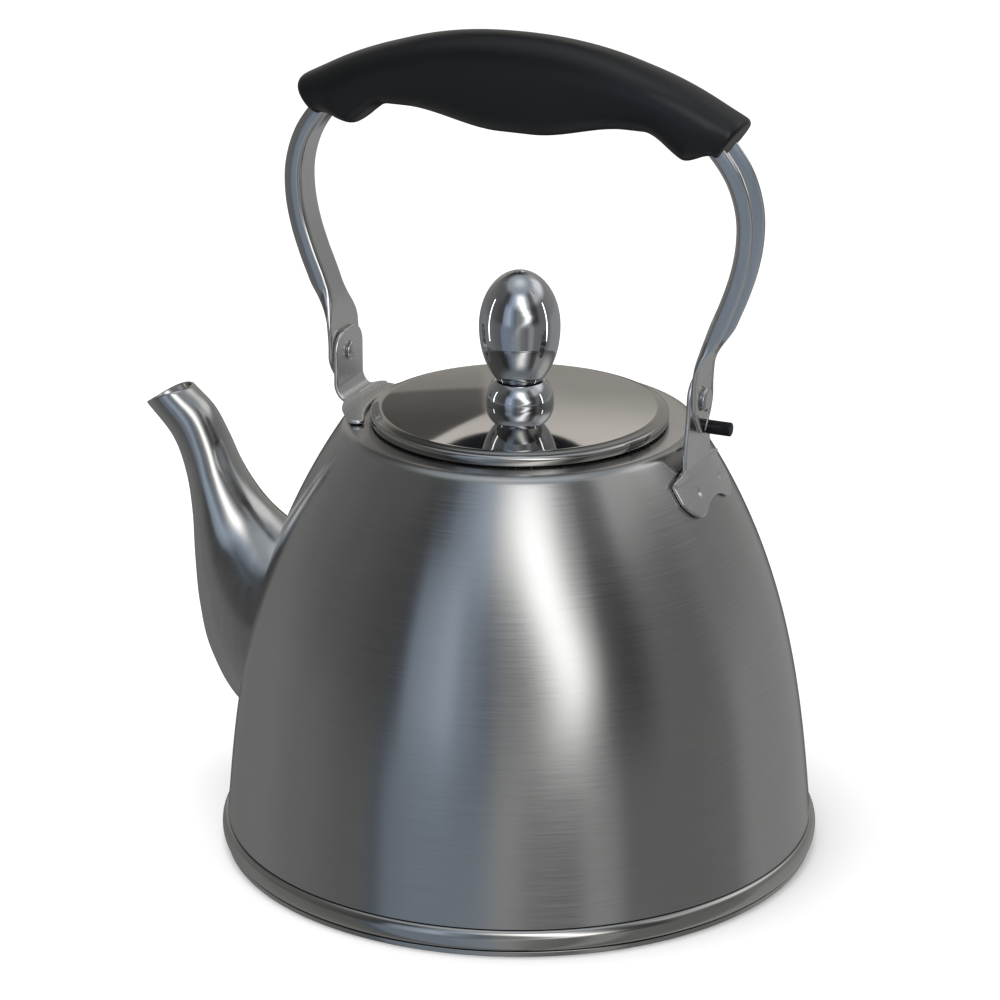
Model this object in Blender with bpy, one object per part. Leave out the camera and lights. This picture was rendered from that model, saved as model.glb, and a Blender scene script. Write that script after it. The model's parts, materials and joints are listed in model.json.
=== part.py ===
"""Stovetop kettle with a folding handle, a lift-off lid and a push-in whistle.

Frame: the origin is the centre of the flat underside, +Z is up, and the spout points along -X.
The handle, the spout and both brackets lie in the XZ plane. Everything is in metres.
"""

import math

import bmesh
import bpy
import numpy as np
from mathutils import Matrix, Vector

MM = 0.001
GAP = 0.3 * MM

# Body: a spun bell of sheet steel
SHEET = 0.9 * MM
BODY_RADIUS = 103.8 * MM
BODY_BOTTOM_Z = 9.8 * MM
FOLD_Z = 151.0 * MM
STRAIGHT_TAPER = 12.5 * MM
CUBE_TAPER = 29.8 * MM
FOLD_RADIUS = 5.0 * MM
NECK_RADIUS = 44.5 * MM
NECK_DEPTH = 7.0 * MM

# Base: a rolled bead, a floor, a heat spreader and its cap
BEAD_RADIUS = 105.0 * MM
BEAD_LOW_Z = 2.2 * MM
BEAD_HIGH_Z = 9.5 * MM
BEAD_DEPTH = 4.0 * MM
FLOOR_LOW_Z = 5.0 * MM
FLOOR_SHEET = 0.9 * MM
SPREADER_RADIUS = 97.0 * MM
SPREADER_LOW_Z = 1.1 * MM
SPREADER_HIGH_Z = 4.7 * MM
CAP_RADIUS = 103.4 * MM
CAP_SHEET = 0.8 * MM
CAP_HIGH_Z = 1.8 * MM

# Spout: each row is one section from the root to the mouth, in millimetres:
# the (x, z) of its lower edge, the (x, z) of its upper edge, and its half width
SPOUT_SHEET = 1.0 * MM
SPOUT_SECTIONS = (
    ((-80.0, 22.0), (-76.0, 96.0), 31.0),
    ((-104.0, 32.0), (-86.0, 98.0), 28.0),
    ((-117.0, 49.0), (-93.5, 102.5), 23.5),
    ((-122.5, 66.0), (-100.0, 108.0), 19.0),
    ((-124.8, 84.0), (-105.5, 114.5), 15.5),
    ((-126.0, 101.0), (-110.5, 122.5), 12.5),
    ((-128.6, 116.0), (-114.8, 132.0), 10.5),
    ((-134.0, 129.0), (-120.0, 141.0), 9.3),
    ((-144.5, 140.3), (-127.8, 147.6), 8.9),
)
MOUTH_ARCH = 1.2 * MM
STRAINER_HOLE_RADIUS = 3.2 * MM
STRAINER_PITCH = 11.0 * MM
STRAINER_CENTRE_Z = 62.0 * MM

# Whistle: a cup that pushes into the neck of the spout along its axis
WHISTLE_TOP = Vector((-0.1325, 0.0, 0.1406))
WHISTLE_AXIS = Vector((-0.72, 0.0, 0.69)).normalized()
WHISTLE_RADIUS = 6.9 * MM
WHISTLE_LENGTH = 7.5 * MM
WHISTLE_WALL = 0.9 * MM
WHISTLE_HOLE = 1.6 * MM

# Lid
LID_RADIUS = 51.3 * MM
LID_EDGE_Z = 157.2 * MM
LID_RISE = 2.4 * MM
LID_LIP_Z = 153.8 * MM
LID_SHEET = 1.1 * MM
LID_CORNER = 1.3 * MM
SKIRT_RADIUS = 43.6 * MM
SKIRT_LOW_Z = 145.0 * MM

# Knob
COLLAR_RADIUS = 11.8 * MM
COLLAR_WIDEST_Z = 160.4 * MM
COLLAR_HALF_HEIGHT = 10.6 * MM
COLLAR_LOW_Z = 160.1 * MM
WAIST_Z = 167.9 * MM
KNOB_RADIUS = 13.9 * MM
KNOB_WIDEST_Z = 186.8 * MM
KNOB_LOWER_HALF = 23.0 * MM
KNOB_TOP_Z = 206.3 * MM
SCREW_RADIUS = 2.0 * MM
SCREW_TIP_Z = 179.0 * MM

# Handle pivot and brackets
PIVOT_Z = 169.7 * MM
STRAP_X = 64.4 * MM
STRAP_SHEET = 1.5 * MM
TAB_SHEET = 1.4 * MM
TAB_X = STRAP_X + STRAP_SHEET + GAP
RIVET_RADIUS = 2.6 * MM
RIVET_HEAD_RADIUS = 4.1 * MM
RIVET_TAIL_RADIUS = 3.3 * MM
RIVET_HEAD_HEIGHT = 1.9 * MM
PEG_Y = 7.2 * MM
PEG_Z = 157.6 * MM
PEG_RADIUS = 2.4 * MM
PEG_LENGTH = 8.6 * MM
PEG_SHANK_RADIUS = 1.3 * MM
STRAP_TOP_Z = PIVOT_Z + 8.2 * MM
STRAP_CORNER = 7.5 * MM
STRAP_STEPS = (0.02, 0.3, 0.9, 2.0, 3.6, 5.6, 8.2, 12.0, 17.0, 22.0)

# Handle arms: the middle line of the web in the XZ plane, in millimetres,
# from the tail of the tab into the grip
ARM_LINE = (
    (66.9, 158.2),
    (66.9, 166.0),
    (66.9, 176.0),
    (68.1, 186.0),
    (71.2, 196.0),
    (75.2, 206.0),
    (78.4, 216.0),
    (80.1, 226.0),
    (79.8, 236.0),
    (76.6, 246.0),
    (70.6, 254.6),
    (63.0, 261.5),
    (54.0, 267.0),
)
ARM_HALF_WIDTH = 6.5 * MM
ARM_DEPTH = 6.2 * MM
FRONT_TAB_HALF_WIDTH = 11.0 * MM
REAR_TAB_HALF_WIDTH = 8.9 * MM

# Grip
GRIP_HALF_LENGTH = 75.0 * MM
GRIP_HALF_WIDTH = 13.0 * MM
GRIP_SQUARENESS = 0.86
GRIP_SCREW_RADIUS = 1.6 * MM
GRIP_SCREW_HEAD_RADIUS = 2.9 * MM
GRIP_SCREW_X = 60.5 * MM
GRIP_SCREW_LENGTH = 15.0 * MM

ROUND = 52
SMALL_ROUND = 20


def clear_scene():
    for obj in list(bpy.data.objects):
        bpy.data.objects.remove(obj, do_unlink=True)


def finish(name, colour, roughness, metallic):
    """A Principled material with a linear colour, a roughness and a metallic value."""
    material = bpy.data.materials.new(name)
    material.use_nodes = True
    shader = material.node_tree.nodes["Principled BSDF"]
    shader.inputs["Base Color"].default_value = (*colour, 1.0)
    shader.inputs["Roughness"].default_value = roughness
    shader.inputs["Metallic"].default_value = metallic
    return material


def curve_through(points, count):
    """Catmull-Rom curve through the points, read at count even steps of its parameter."""
    points = np.asarray(points, float)
    padded = np.vstack([2 * points[0] - points[1], points, 2 * points[-1] - points[-2]])
    steps = np.linspace(0, len(points) - 1, count)
    index = np.minimum(steps.astype(int), len(points) - 2)
    t = (steps - index)[:, None]
    a, b, c, d = (padded[index + k] for k in range(4))
    square = (2 * a - 5 * b + 4 * c - d) * t**2
    cube = (3 * b - a - 3 * c + d) * t**3
    return 0.5 * (2 * b + (c - a) * t + square + cube)


def smoothstep(low, high, value):
    t = np.clip((value - low) / (high - low), 0, 1)
    return t * t * (3 - 2 * t)


def put(mesh_source, name, material, parent=None):
    """Makes one object from a bmesh, with its normals out and its round faces smooth."""
    bmesh.ops.recalc_face_normals(mesh_source, faces=mesh_source.faces)
    mesh = bpy.data.meshes.new(name)
    mesh_source.to_mesh(mesh)
    mesh_source.free()
    mesh.materials.append(material)
    mesh.shade_smooth()
    mesh.set_sharp_from_angle(angle=math.radians(35))
    obj = bpy.data.objects.new(name, mesh)
    bpy.context.scene.collection.objects.link(obj)
    if parent:
        obj.parent = parent
        obj.matrix_parent_inverse = parent.matrix_world.inverted()
    return obj


def turned(outline, segments=ROUND, matrix=None):
    """A bmesh turned about Z from a closed outline of (radius, height) points."""
    shape = bmesh.new()
    ring = [shape.verts.new((radius, 0.0, height)) for radius, height in outline]
    edges = [shape.edges.new((ring[i], ring[(i + 1) % len(ring)])) for i in range(len(ring))]
    bmesh.ops.spin(
        shape,
        geom=ring + edges,
        cent=(0, 0, 0),
        axis=(0, 0, 1),
        angle=math.tau,
        steps=segments,
        use_merge=True,
    )
    bmesh.ops.remove_doubles(shape, verts=shape.verts, dist=1e-6)
    bmesh.ops.dissolve_degenerate(shape, edges=shape.edges, dist=1e-7)
    on_axis = [face for face in shape.faces if all(math.hypot(*v.co.xy) < 1e-6 for v in face.verts)]
    bmesh.ops.delete(shape, geom=on_axis, context="FACES")
    loose = [edge for edge in shape.edges if not edge.link_faces]
    bmesh.ops.delete(shape, geom=loose, context="EDGES")
    if matrix:
        bmesh.ops.transform(shape, matrix=matrix, verts=shape.verts)
    return shape


def lofted(rings, capped=True):
    """A bmesh of quads between the rings of an array (rings, points, xyz).

    Without caps its two ends are joined.
    """
    shape = bmesh.new()
    rows = [[shape.verts.new(point) for point in ring] for ring in rings]
    count = len(rows[0])
    pairs = list(zip(rows, rows[1:]))
    if not capped:
        pairs.append((rows[-1], rows[0]))
    for first, second in pairs:
        for i in range(count):
            j = (i + 1) % count
            shape.faces.new((first[i], first[j], second[j], second[i]))
    if capped:
        shape.faces.new(rows[0])
        shape.faces.new(rows[-1])
    return shape


def plate(grid, thickness, directions=None):
    """A closed sheet: a grid of points (rows, columns, xyz), thickened to one side.

    It is thickened along each row's own direction, or along the grid's normals when none are given.
    """
    if directions is None:
        along = np.gradient(grid, axis=0)
        across = np.gradient(grid, axis=1)
        normal = np.cross(along, across)
    else:
        normal = np.repeat(np.asarray(directions, float)[:, None, :], grid.shape[1], axis=1)
    normal /= np.linalg.norm(normal, axis=2, keepdims=True)
    back = grid + thickness * normal
    rings = [np.vstack([front_row, back_row[::-1]]) for front_row, back_row in zip(grid, back)]
    return lofted(rings)


def cut(target, cutter, operation="DIFFERENCE"):
    """A Boolean on target, with the cutter kept in the scene as a hidden wire guide."""
    cutter.hide_render = True
    cutter.display_type = "WIRE"
    modifier = target.modifiers.new("cut by " + cutter.name, "BOOLEAN")
    modifier.operation = operation
    modifier.solver = "EXACT"
    modifier.object = cutter


def rod(start, end, radius, segments=SMALL_ROUND):
    """A plain round bar between two points, as a bmesh."""
    start, end = Vector(start), Vector(end)
    turn = (end - start).to_track_quat("Z", "Y").to_matrix().to_4x4()
    length = (end - start).length
    outline = ((0, 0), (radius, 0), (radius, length), (0, length))
    return turned(outline, segments, Matrix.Translation(start) @ turn)


def wall_radius(z):
    """Outer radius of the bell: a straight taper and a cube law together."""
    t = z / FOLD_Z
    return BODY_RADIUS - STRAIGHT_TAPER * t - CUBE_TAPER * t**3


def body_outline(offset=0.0):
    """The bell's outer line (radius, height) from its foot to the edge of the neck, pushed out by offset."""
    straight = np.linspace(BODY_BOTTOM_Z, 0.8 * FOLD_Z, 6)
    heights = np.append(straight, [0.87 * FOLD_Z, FOLD_Z])
    line = [(wall_radius(z), z) for z in heights]
    slope = (STRAIGHT_TAPER + 3 * CUBE_TAPER) / FOLD_Z
    lean = math.atan2(1.0, slope)
    centre_r = line[-1][0] - FOLD_RADIUS * math.sin(lean)
    centre_z = FOLD_Z - FOLD_RADIUS * math.cos(lean)
    for angle in np.linspace(lean, 0, 4)[1:]:
        line.append((centre_r + FOLD_RADIUS * math.sin(angle), centre_z + FOLD_RADIUS * math.cos(angle)))
    deck_z = line[-1][1]
    line.append((NECK_RADIUS + 1.5 * MM, deck_z))
    line.append((NECK_RADIUS + 0.4 * MM, deck_z - 0.4 * MM))
    line.append((NECK_RADIUS, deck_z - 1.5 * MM))
    line.append((NECK_RADIUS, deck_z - NECK_DEPTH))
    return pushed(np.array(line), offset)


def pushed(line, distance):
    """The line moved sideways, to the right of its direction of travel."""
    travel = np.gradient(line, axis=0)
    normal = np.stack([travel[:, 1], -travel[:, 0]], axis=1)
    normal /= np.linalg.norm(normal, axis=1, keepdims=True)
    return line + distance * normal


def deck_height():
    return body_outline()[-4][1]


def make_body(steel, parent):
    outer = body_outline()
    inner = pushed(outer, -SHEET)
    shell = put(turned(np.vstack([outer, inner[::-1]])), "body_shell", steel, parent)
    holes = bmesh.new()
    rows = ((-2, 3), (-1, 4), (0, 3), (1, 4), (2, 3))
    for row, count in rows:
        for column in range(count):
            y = (column - (count - 1) / 2) * STRAINER_PITCH
            z = STRAINER_CENTRE_Z + row * STRAINER_PITCH * math.sin(math.radians(60))
            hole = rod((-115 * MM, y, z), (-75 * MM, y, z), STRAINER_HOLE_RADIUS, 12)
            mesh = bpy.data.meshes.new("hole")
            hole.to_mesh(mesh)
            hole.free()
            holes.from_mesh(mesh)
    cut(shell, put(holes, "strainer_holes_cutter", steel))


def disc_outline(radius, low, high):
    """The outline of a plain disc."""
    return ((0, low), (radius, low), (radius, high), (0, high))


def make_base(steel, aluminium, parent):
    middle = (BEAD_LOW_Z + BEAD_HIGH_Z) / 2
    half_height = (BEAD_HIGH_Z - BEAD_LOW_Z) / 2
    centre = BEAD_RADIUS - BEAD_DEPTH / 2
    bead = [
        (centre + BEAD_DEPTH / 2 * math.cos(a), middle + half_height * math.sin(a))
        for a in np.linspace(0, math.tau, 8, endpoint=False)
    ]
    put(turned(bead), "base_bead", steel, parent)
    floor = disc_outline(BEAD_RADIUS - BEAD_DEPTH - GAP, FLOOR_LOW_Z, FLOOR_LOW_Z + FLOOR_SHEET)
    put(turned(floor), "base_floor", steel, parent)
    spreader = disc_outline(SPREADER_RADIUS, SPREADER_LOW_Z, SPREADER_HIGH_Z)
    put(turned(spreader), "heat_spreader", aluminium, parent)
    rim = SPREADER_RADIUS + GAP
    corner = 0.5 * MM
    cap = (
        (0, 0),
        (CAP_RADIUS - corner, 0),
        (CAP_RADIUS, corner),
        (CAP_RADIUS, CAP_HIGH_Z),
        (rim, CAP_HIGH_Z),
        (rim, CAP_SHEET),
        (0, CAP_SHEET),
    )
    put(turned(cap), "base_cap", steel, parent)


def spout_rings(inset, count, around):
    """Rings of the spout: ellipses between its lower and upper edges, made smaller by inset all round."""
    lower = curve_through([section[0] for section in SPOUT_SECTIONS], count) * MM
    upper = curve_through([section[1] for section in SPOUT_SECTIONS], count) * MM
    width = curve_through([(section[2], 0) for section in SPOUT_SECTIONS], count)[:, 0] * MM
    centre = (lower + upper) / 2
    reach = (lower - upper) / 2
    length = np.linalg.norm(reach, axis=1, keepdims=True)
    reach = reach * (length - inset) / length
    angle = np.linspace(0, math.tau, around, endpoint=False)
    side = np.sin(angle)
    x = centre[:, :1] + reach[:, :1] * np.cos(angle)
    z = centre[:, 1:] + reach[:, 1:] * np.cos(angle)
    y = (width[:, None] - inset) * side
    lift = np.linspace(0, 1, count)[:, None] ** 8 * MOUTH_ARCH
    z = z + lift * side**2
    return np.stack([x, y, z], axis=2)


def make_spout(steel, parent):
    outside = spout_rings(0.0, 15, 20)
    inside = spout_rings(SPOUT_SHEET, 15, 20)
    rings = np.concatenate([outside, inside[::-1]])
    spout = put(lofted(rings, capped=False), "spout", steel, parent)
    line = body_outline(GAP)
    keep = line[:-2]
    solid = np.vstack([[(0, line[0][1])], keep, [(0, keep[-1][1])]])
    cut(spout, put(turned(solid, 104), "body_envelope_cutter", steel))


def make_whistle(steel, parent):
    """Parts turned about the whistle's own axis, with local Z pointing out of the spout and 0 at the top."""
    turn = WHISTLE_AXIS.to_track_quat("Z", "Y").to_matrix().to_4x4()
    place = Matrix.Translation(WHISTLE_TOP) @ turn
    outer = WHISTLE_RADIUS
    inner = outer - WHISTLE_WALL
    seat = inner - 1.2 * MM
    low = -WHISTLE_LENGTH
    shelf = low + 1.0 * MM
    cup = ((outer, 0), (outer, low), (seat, low), (seat, shelf), (inner, shelf), (inner, 0))
    put(turned(cup, SMALL_ROUND, place), "whistle_cup", steel, parent)
    disc = inner - GAP
    rear_z = shelf + GAP
    thick = 0.8 * MM
    rear = ((WHISTLE_HOLE, rear_z), (disc, rear_z), (disc, rear_z + thick), (WHISTLE_HOLE, rear_z + thick))
    put(turned(rear, SMALL_ROUND, place), "whistle_rear_plate", steel, parent)
    skirt_low = rear_z + thick + GAP
    front_z = -1.6 * MM
    front = (
        (WHISTLE_HOLE, front_z),
        (WHISTLE_HOLE, front_z - thick),
        (disc - thick, front_z - thick),
        (disc - thick, skirt_low),
        (disc, skirt_low),
        (disc, front_z),
    )
    put(turned(front, SMALL_ROUND, place), "whistle_front_plate", steel, parent)


def lid_height(radius):
    """Height of the lid's top face: nearly flat, falling faster near the edge."""
    return LID_EDGE_Z + LID_RISE * (1 - (radius / (LID_RADIUS - LID_CORNER)) ** 2.4)


def make_lid(polished, steel, parent):
    bore = SCREW_RADIUS + GAP
    flat_radius = LID_RADIUS - LID_CORNER
    radii = np.concatenate([[bore, 12 * MM, 24 * MM], np.linspace(34 * MM, flat_radius, 4)])
    top = [(r, lid_height(r)) for r in radii]
    rim = [
        (flat_radius + LID_CORNER * math.sin(a), LID_EDGE_Z - LID_CORNER * (1 - math.cos(a)))
        for a in np.linspace(0, math.pi / 2, 4)[1:]
    ]
    rim += [
        (LID_RADIUS, LID_LIP_Z + 0.5 * MM),
        (LID_RADIUS - 0.5 * MM, LID_LIP_Z),
        (LID_RADIUS - 1.6 * MM, LID_LIP_Z),
        (LID_RADIUS - 2.0 * MM, LID_LIP_Z + 0.4 * MM),
        (LID_RADIUS - 2.0 * MM, LID_EDGE_Z - 1.6 * MM),
    ]
    under = [(r, lid_height(r) - LID_SHEET) for r in radii[:-1]][::-1]
    put(turned(top + rim + under), "lid_cover", polished, parent)
    seat = SKIRT_RADIUS - 8 * MM
    high = lid_height(SKIRT_RADIUS) - LID_SHEET - GAP
    skirt = (
        (SKIRT_RADIUS, high),
        (SKIRT_RADIUS, SKIRT_LOW_Z),
        (SKIRT_RADIUS - 1.0 * MM, SKIRT_LOW_Z),
        (SKIRT_RADIUS - 1.0 * MM, high - 1.0 * MM),
        (seat, high - 1.0 * MM),
        (seat, high),
    )
    put(turned(skirt), "lid_skirt", steel, parent)


def ellipse_radius(z, middle, half_height, radius):
    return radius * math.sqrt(max(0.0, 1 - ((z - middle) / half_height) ** 2))


def make_knob(chrome, steel, parent):
    bore = SCREW_RADIUS + GAP
    collar_top = WAIST_Z - GAP
    heights = np.linspace(COLLAR_LOW_Z, collar_top, 6)
    collar = [(bore, COLLAR_LOW_Z)]
    collar += [(ellipse_radius(z, COLLAR_WIDEST_Z, COLLAR_HALF_HEIGHT, COLLAR_RADIUS), z) for z in heights]
    collar.append((bore, collar_top))
    put(turned(collar, 28), "knob_collar", chrome, parent)
    egg = [(0, SCREW_TIP_Z + GAP), (bore, SCREW_TIP_Z + GAP), (bore, WAIST_Z)]
    for angle in np.radians(np.linspace(-55.2, 90, 10)):
        half = KNOB_LOWER_HALF if angle < 0 else KNOB_TOP_Z - KNOB_WIDEST_Z
        egg.append((KNOB_RADIUS * math.cos(angle), KNOB_WIDEST_Z + half * math.sin(angle)))
    egg[-1] = (0, KNOB_TOP_Z)
    put(turned(egg, 28), "knob", chrome, parent)
    under = lid_height(0) - LID_SHEET - GAP
    washer = ((bore, under), (6 * MM, under), (6 * MM, under - 1 * MM), (bore, under - 1 * MM))
    put(turned(washer, SMALL_ROUND), "knob_washer", steel, parent)
    head = under - 1 * MM - GAP
    screw = (
        (0, SCREW_TIP_Z),
        (SCREW_RADIUS, SCREW_TIP_Z),
        (SCREW_RADIUS, head),
        (4 * MM, head),
        (4 * MM, head - 1.6 * MM),
        (3.2 * MM, head - 2.4 * MM),
        (0, head - 2.4 * MM),
    )
    put(turned(screw, SMALL_ROUND), "knob_screw", steel, parent)


def rounded_half_width(height, half_width):
    """Half width of a strap with a rounded top end: an arc over the last corner's length."""
    past = np.clip((height - (STRAP_TOP_Z - STRAP_CORNER)) / STRAP_CORNER, 0, 0.995)
    return half_width - STRAP_CORNER * (1 - np.sqrt(1 - past**2))


def make_front_bracket(steel, parent):
    """Strap on the spout side, bent in at its foot, which lies on the flat ring round the lid.

    The foot reaches far round on one side only, where it is welded.
    """
    foot_z = deck_height() + GAP + STRAP_SHEET
    half_width = 10.4 * MM
    bend_x = -60.6 * MM
    columns = np.linspace(-1, 1, 10)
    grid = []
    for below in STRAP_STEPS[:-2]:
        z = STRAP_TOP_Z - below * MM
        half = rounded_half_width(z, half_width)
        grid.append([(-STRAP_X, half * c, z) for c in columns])
    for x, z in ((-63.4 * MM, 161 * MM), (bend_x - 0.3 * MM, foot_z + 1.2 * MM)):
        grid.append([(x, half_width * c, z) for c in columns])
    grid.append([(bend_x + 0.5 * MM, (half_width + 0.4 * MM) * c, foot_z + 0.25 * MM) for c in columns])
    directions = [(-1, 0, 0)] * (len(grid) - 2) + [(-1, 0, -0.25), (-0.7, 0, -0.7)]
    foot = ((58.9, 12.5, 12.5), (58.3, 29, 14), (56.0, 33, 14.5), (53.6, 31, 14), (52.8, 25, 11))
    for radius, reach, short in foot:
        angles = np.radians(np.where(columns < 0, reach, short)) * columns
        ring = radius * MM
        grid.append([(-ring * math.cos(a), ring * math.sin(a), foot_z) for a in angles])
        directions.append((0, 0, -1))
    return put(plate(np.array(grid), STRAP_SHEET, directions), "front_bracket", steel, parent)


def make_rear_bracket(steel, parent):
    """Strap opposite the spout, its foot plate laid down the outside of the bell and cut like a fishtail."""
    columns = np.linspace(-1, 1, 10)
    grid = []
    for below in STRAP_STEPS:
        z = STRAP_TOP_Z - below * MM
        half = rounded_half_width(z, 8.6 * MM)
        half += 2.6 * MM * smoothstep(PIVOT_Z - 2 * MM, 148 * MM, z)
        grid.append([(STRAP_X, half * c, z) for c in columns])
    clear = GAP + 0.1 * MM
    for z, half, wrap in ((149.5, 11.0, 0.0), (146.2, 11.4, 0.25), (144.0, 13.0, 0.8), (143.0, 18.5, 1.0)):
        ring = wall_radius(z * MM) + clear
        row = []
        for c in columns:
            y = half * MM * c
            x = ring + (math.sqrt(ring**2 - y**2) - ring) * wrap
            row.append((max(x, STRAP_X), y, z * MM))
        grid.append(row)
    for low, half in ((139, 19.5), (134.5, 19.5), (130.5, 17.5)):
        row = []
        for c in columns:
            rise = 3.2 * (1 - c * c) ** 2 * (143 - low) / 12.5
            z = (low + rise) * MM
            ring = wall_radius(z) + clear
            y = half * MM * c
            row.append((math.sqrt(ring**2 - y**2), y, z))
        grid.append(row)
    return put(plate(np.array(grid), STRAP_SHEET), "rear_bracket", steel, parent)


def arm_rings(tab_half_width, inset=0.0, start=0, count=26):
    """Rings of one arm at +X: a channel whose web faces the kettle, with flanges that fade out at the tab.

    inset below 0 makes it fatter, which cuts its socket in the grip. start skips the first rings.
    """
    line = curve_through(ARM_LINE, count) * MM
    travel = np.gradient(line, axis=0)
    travel /= np.linalg.norm(travel, axis=1, keepdims=True)
    outward = np.stack([travel[:, 1], -travel[:, 0]], axis=1)
    rings = []
    tab_end = PIVOT_Z + 9 * MM
    for (x, z), out in list(zip(line, outward))[start:]:
        depth = TAB_SHEET + (ARM_DEPTH - TAB_SHEET) * smoothstep(tab_end, tab_end + 19 * MM, z)
        half = tab_half_width + (ARM_HALF_WIDTH - tab_half_width) * smoothstep(tab_end, tab_end + 15 * MM, z)
        tail = np.clip((PIVOT_Z - z) / (PIVOT_Z - ARM_LINE[0][1] * MM), 0, 1)
        half = half - (half - 2.4 * MM) * tail**1.6
        rings.append(channel_section(x, z, out, half, depth, inset))
    return np.array(rings)


def channel_section(x, z, out, half, depth, inset):
    """One ring of the channel: (offset along out, y) points, the web's inner face first."""
    sheet = TAB_SHEET
    corner = min(2.0 * MM, depth * 0.55)
    web = -sheet / 2
    tip = web + depth
    side = half - inset
    outer = [
        (web + inset, -side + corner),
        (web + inset + 0.3 * corner, -side + 0.28 * corner),
        (web + corner, -side),
        (tip - inset, -side),
    ]
    floor = web + sheet - inset
    lift = max(tip - inset, floor + 0.02 * MM)
    if inset < 0:
        inner = [(lift, -side * 0.5), (lift, -side * 0.25)]
    else:
        inner = [(lift, -side + sheet), (floor, -side + sheet + 0.5 * corner)]
    left = outer + inner
    points = left + [(a, -b) for a, b in left[::-1]]
    return [(x + out[0] * a, b, z + out[1] * a) for a, b in points]


def make_arm(name, side, tab_half_width, steel, parent):
    rings = arm_rings(tab_half_width) * (side, 1, 1)
    arm = put(lofted(rings), name, steel, parent)
    hole = RIVET_RADIUS + GAP
    middle = side * (TAB_X + TAB_SHEET / 2)
    drill = rod((middle - 4 * MM, 0, PIVOT_Z), (middle + 4 * MM, 0, PIVOT_Z), hole)
    cut(arm, put(drill, name + "_hole_cutter", steel))
    return arm


def grip_underside(x):
    """Height of the underside in mm: low ends, two finger hollows and a belly between them."""
    x = abs(x)
    belly = 254.6 + 5.4 * smoothstep(6, 40, x)
    return belly - 9.6 * smoothstep(45, 66, x)


def grip_top(x):
    """Height of the top in mm: highest in the middle, falling towards both ends."""
    return 288.4 - 21.0 * (abs(x) * MM / GRIP_HALF_LENGTH) ** 2.2


def make_grip(plastic, parent):
    """Moulded grip: ovals across X, leaning over at the ends so that each end face looks down its arm."""
    around = np.linspace(0, math.tau, 20, endpoint=False)
    rings = []
    for t in np.linspace(-1, 1, 25):
        x = t * GRIP_HALF_LENGTH / MM
        low, high = grip_underside(x), grip_top(x)
        middle, half = (low + high) / 2, (high - low) / 2
        end = smoothstep(0.86, 1.0, abs(t))
        half *= 1 - 0.16 * end
        width = (GRIP_HALF_WIDTH / MM) * (1 - 0.12 * abs(t) ** 2) * (1 - 0.10 * end)
        lean = math.copysign(0.62 * smoothstep(0.55, 1.0, abs(t)), t)
        c, s = np.cos(around), np.sin(around)
        up = half * np.sign(s) * np.abs(s) ** GRIP_SQUARENESS
        y = width * np.sign(c) * np.abs(c) ** GRIP_SQUARENESS
        ring = np.stack([x + np.sin(lean) * up, y, middle + np.cos(lean) * up + 2.5 * end], axis=1)
        rings.append(ring * MM)
    grip = put(lofted(np.array(rings)), "grip", plastic, parent)
    for side, label in ((-1, "front"), (1, "rear")):
        socket = arm_rings(ARM_HALF_WIDTH, -GAP, 18) * (side, 1, 1)
        step = socket[-1] - socket[-2]
        tail = socket[-1] + step / np.linalg.norm(step[0]) * GAP
        cutter = put(lofted(np.concatenate([socket, [tail]])), label + "_socket_cutter", plastic)
        cut(grip, cutter)
    return grip


def make_grip_screw(side, label, grip, arm, steel, parent):
    """Countersunk screw from below, through a hole in the web of the arm, into the grip."""
    x = side * GRIP_SCREW_X
    low = grip_underside(GRIP_SCREW_X / MM) * MM
    radius = GRIP_SCREW_RADIUS
    head_z = low + 3.0 * MM
    tip_z = head_z + GRIP_SCREW_LENGTH
    outline = (
        (0, tip_z),
        (radius, tip_z),
        (radius, head_z + 1.6 * MM),
        (GRIP_SCREW_HEAD_RADIUS, head_z),
        (GRIP_SCREW_HEAD_RADIUS, head_z - 0.5 * MM),
        (0, head_z - 0.5 * MM),
    )
    move = Matrix.Translation((x, 0, 0))
    put(turned(outline, SMALL_ROUND, move), label + "_grip_screw", steel, parent)
    wide = GRIP_SCREW_HEAD_RADIUS + GAP
    room = (
        (0, tip_z + GAP),
        (radius + GAP, tip_z + GAP),
        (radius + GAP, head_z + 1.6 * MM + GAP),
        (wide, head_z + GAP),
        (wide, low - 12 * MM),
        (0, low - 12 * MM),
    )
    cutter = put(turned(room, SMALL_ROUND, move), label + "_screw_room_cutter", steel)
    cut(grip, cutter)
    cut(arm, cutter)


def make_rivet(side, label, bracket, steel, parent):
    """Rivet along X: a domed head outside the tab, a shank, and a smaller head formed inside the strap."""
    turn = Vector((side, 0, 0)).to_track_quat("Z", "Y").to_matrix().to_4x4()
    place = Matrix.Translation((0, 0, PIVOT_Z)) @ turn
    outside = TAB_X + TAB_SHEET + GAP
    inside = STRAP_X - GAP
    head = [
        (RIVET_HEAD_RADIUS * math.cos(a), outside + 0.5 * MM + (RIVET_HEAD_HEIGHT - 0.5 * MM) * math.sin(a))
        for a in np.linspace(math.pi / 2, 0, 4)
    ]
    tail = [
        (RIVET_TAIL_RADIUS * math.cos(a), inside - 0.4 * MM - 0.9 * MM * math.sin(a))
        for a in np.linspace(0, math.pi / 2, 3)
    ]
    head[0] = (0, head[0][1])
    tail[-1] = (0, tail[-1][1])
    shank = [
        (RIVET_HEAD_RADIUS, outside),
        (RIVET_RADIUS, outside),
        (RIVET_RADIUS, inside),
        (RIVET_TAIL_RADIUS, inside),
    ]
    put(turned(head + shank + tail, SMALL_ROUND, place), label + "_rivet", steel, parent)
    hole = RIVET_RADIUS + GAP
    ends = (side * (STRAP_X - 3 * MM), 0, PIVOT_Z), (side * (STRAP_X + 4 * MM), 0, PIVOT_Z)
    cut(bracket, put(rod(*ends, hole), label + "_rivet_hole_cutter", steel))


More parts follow.
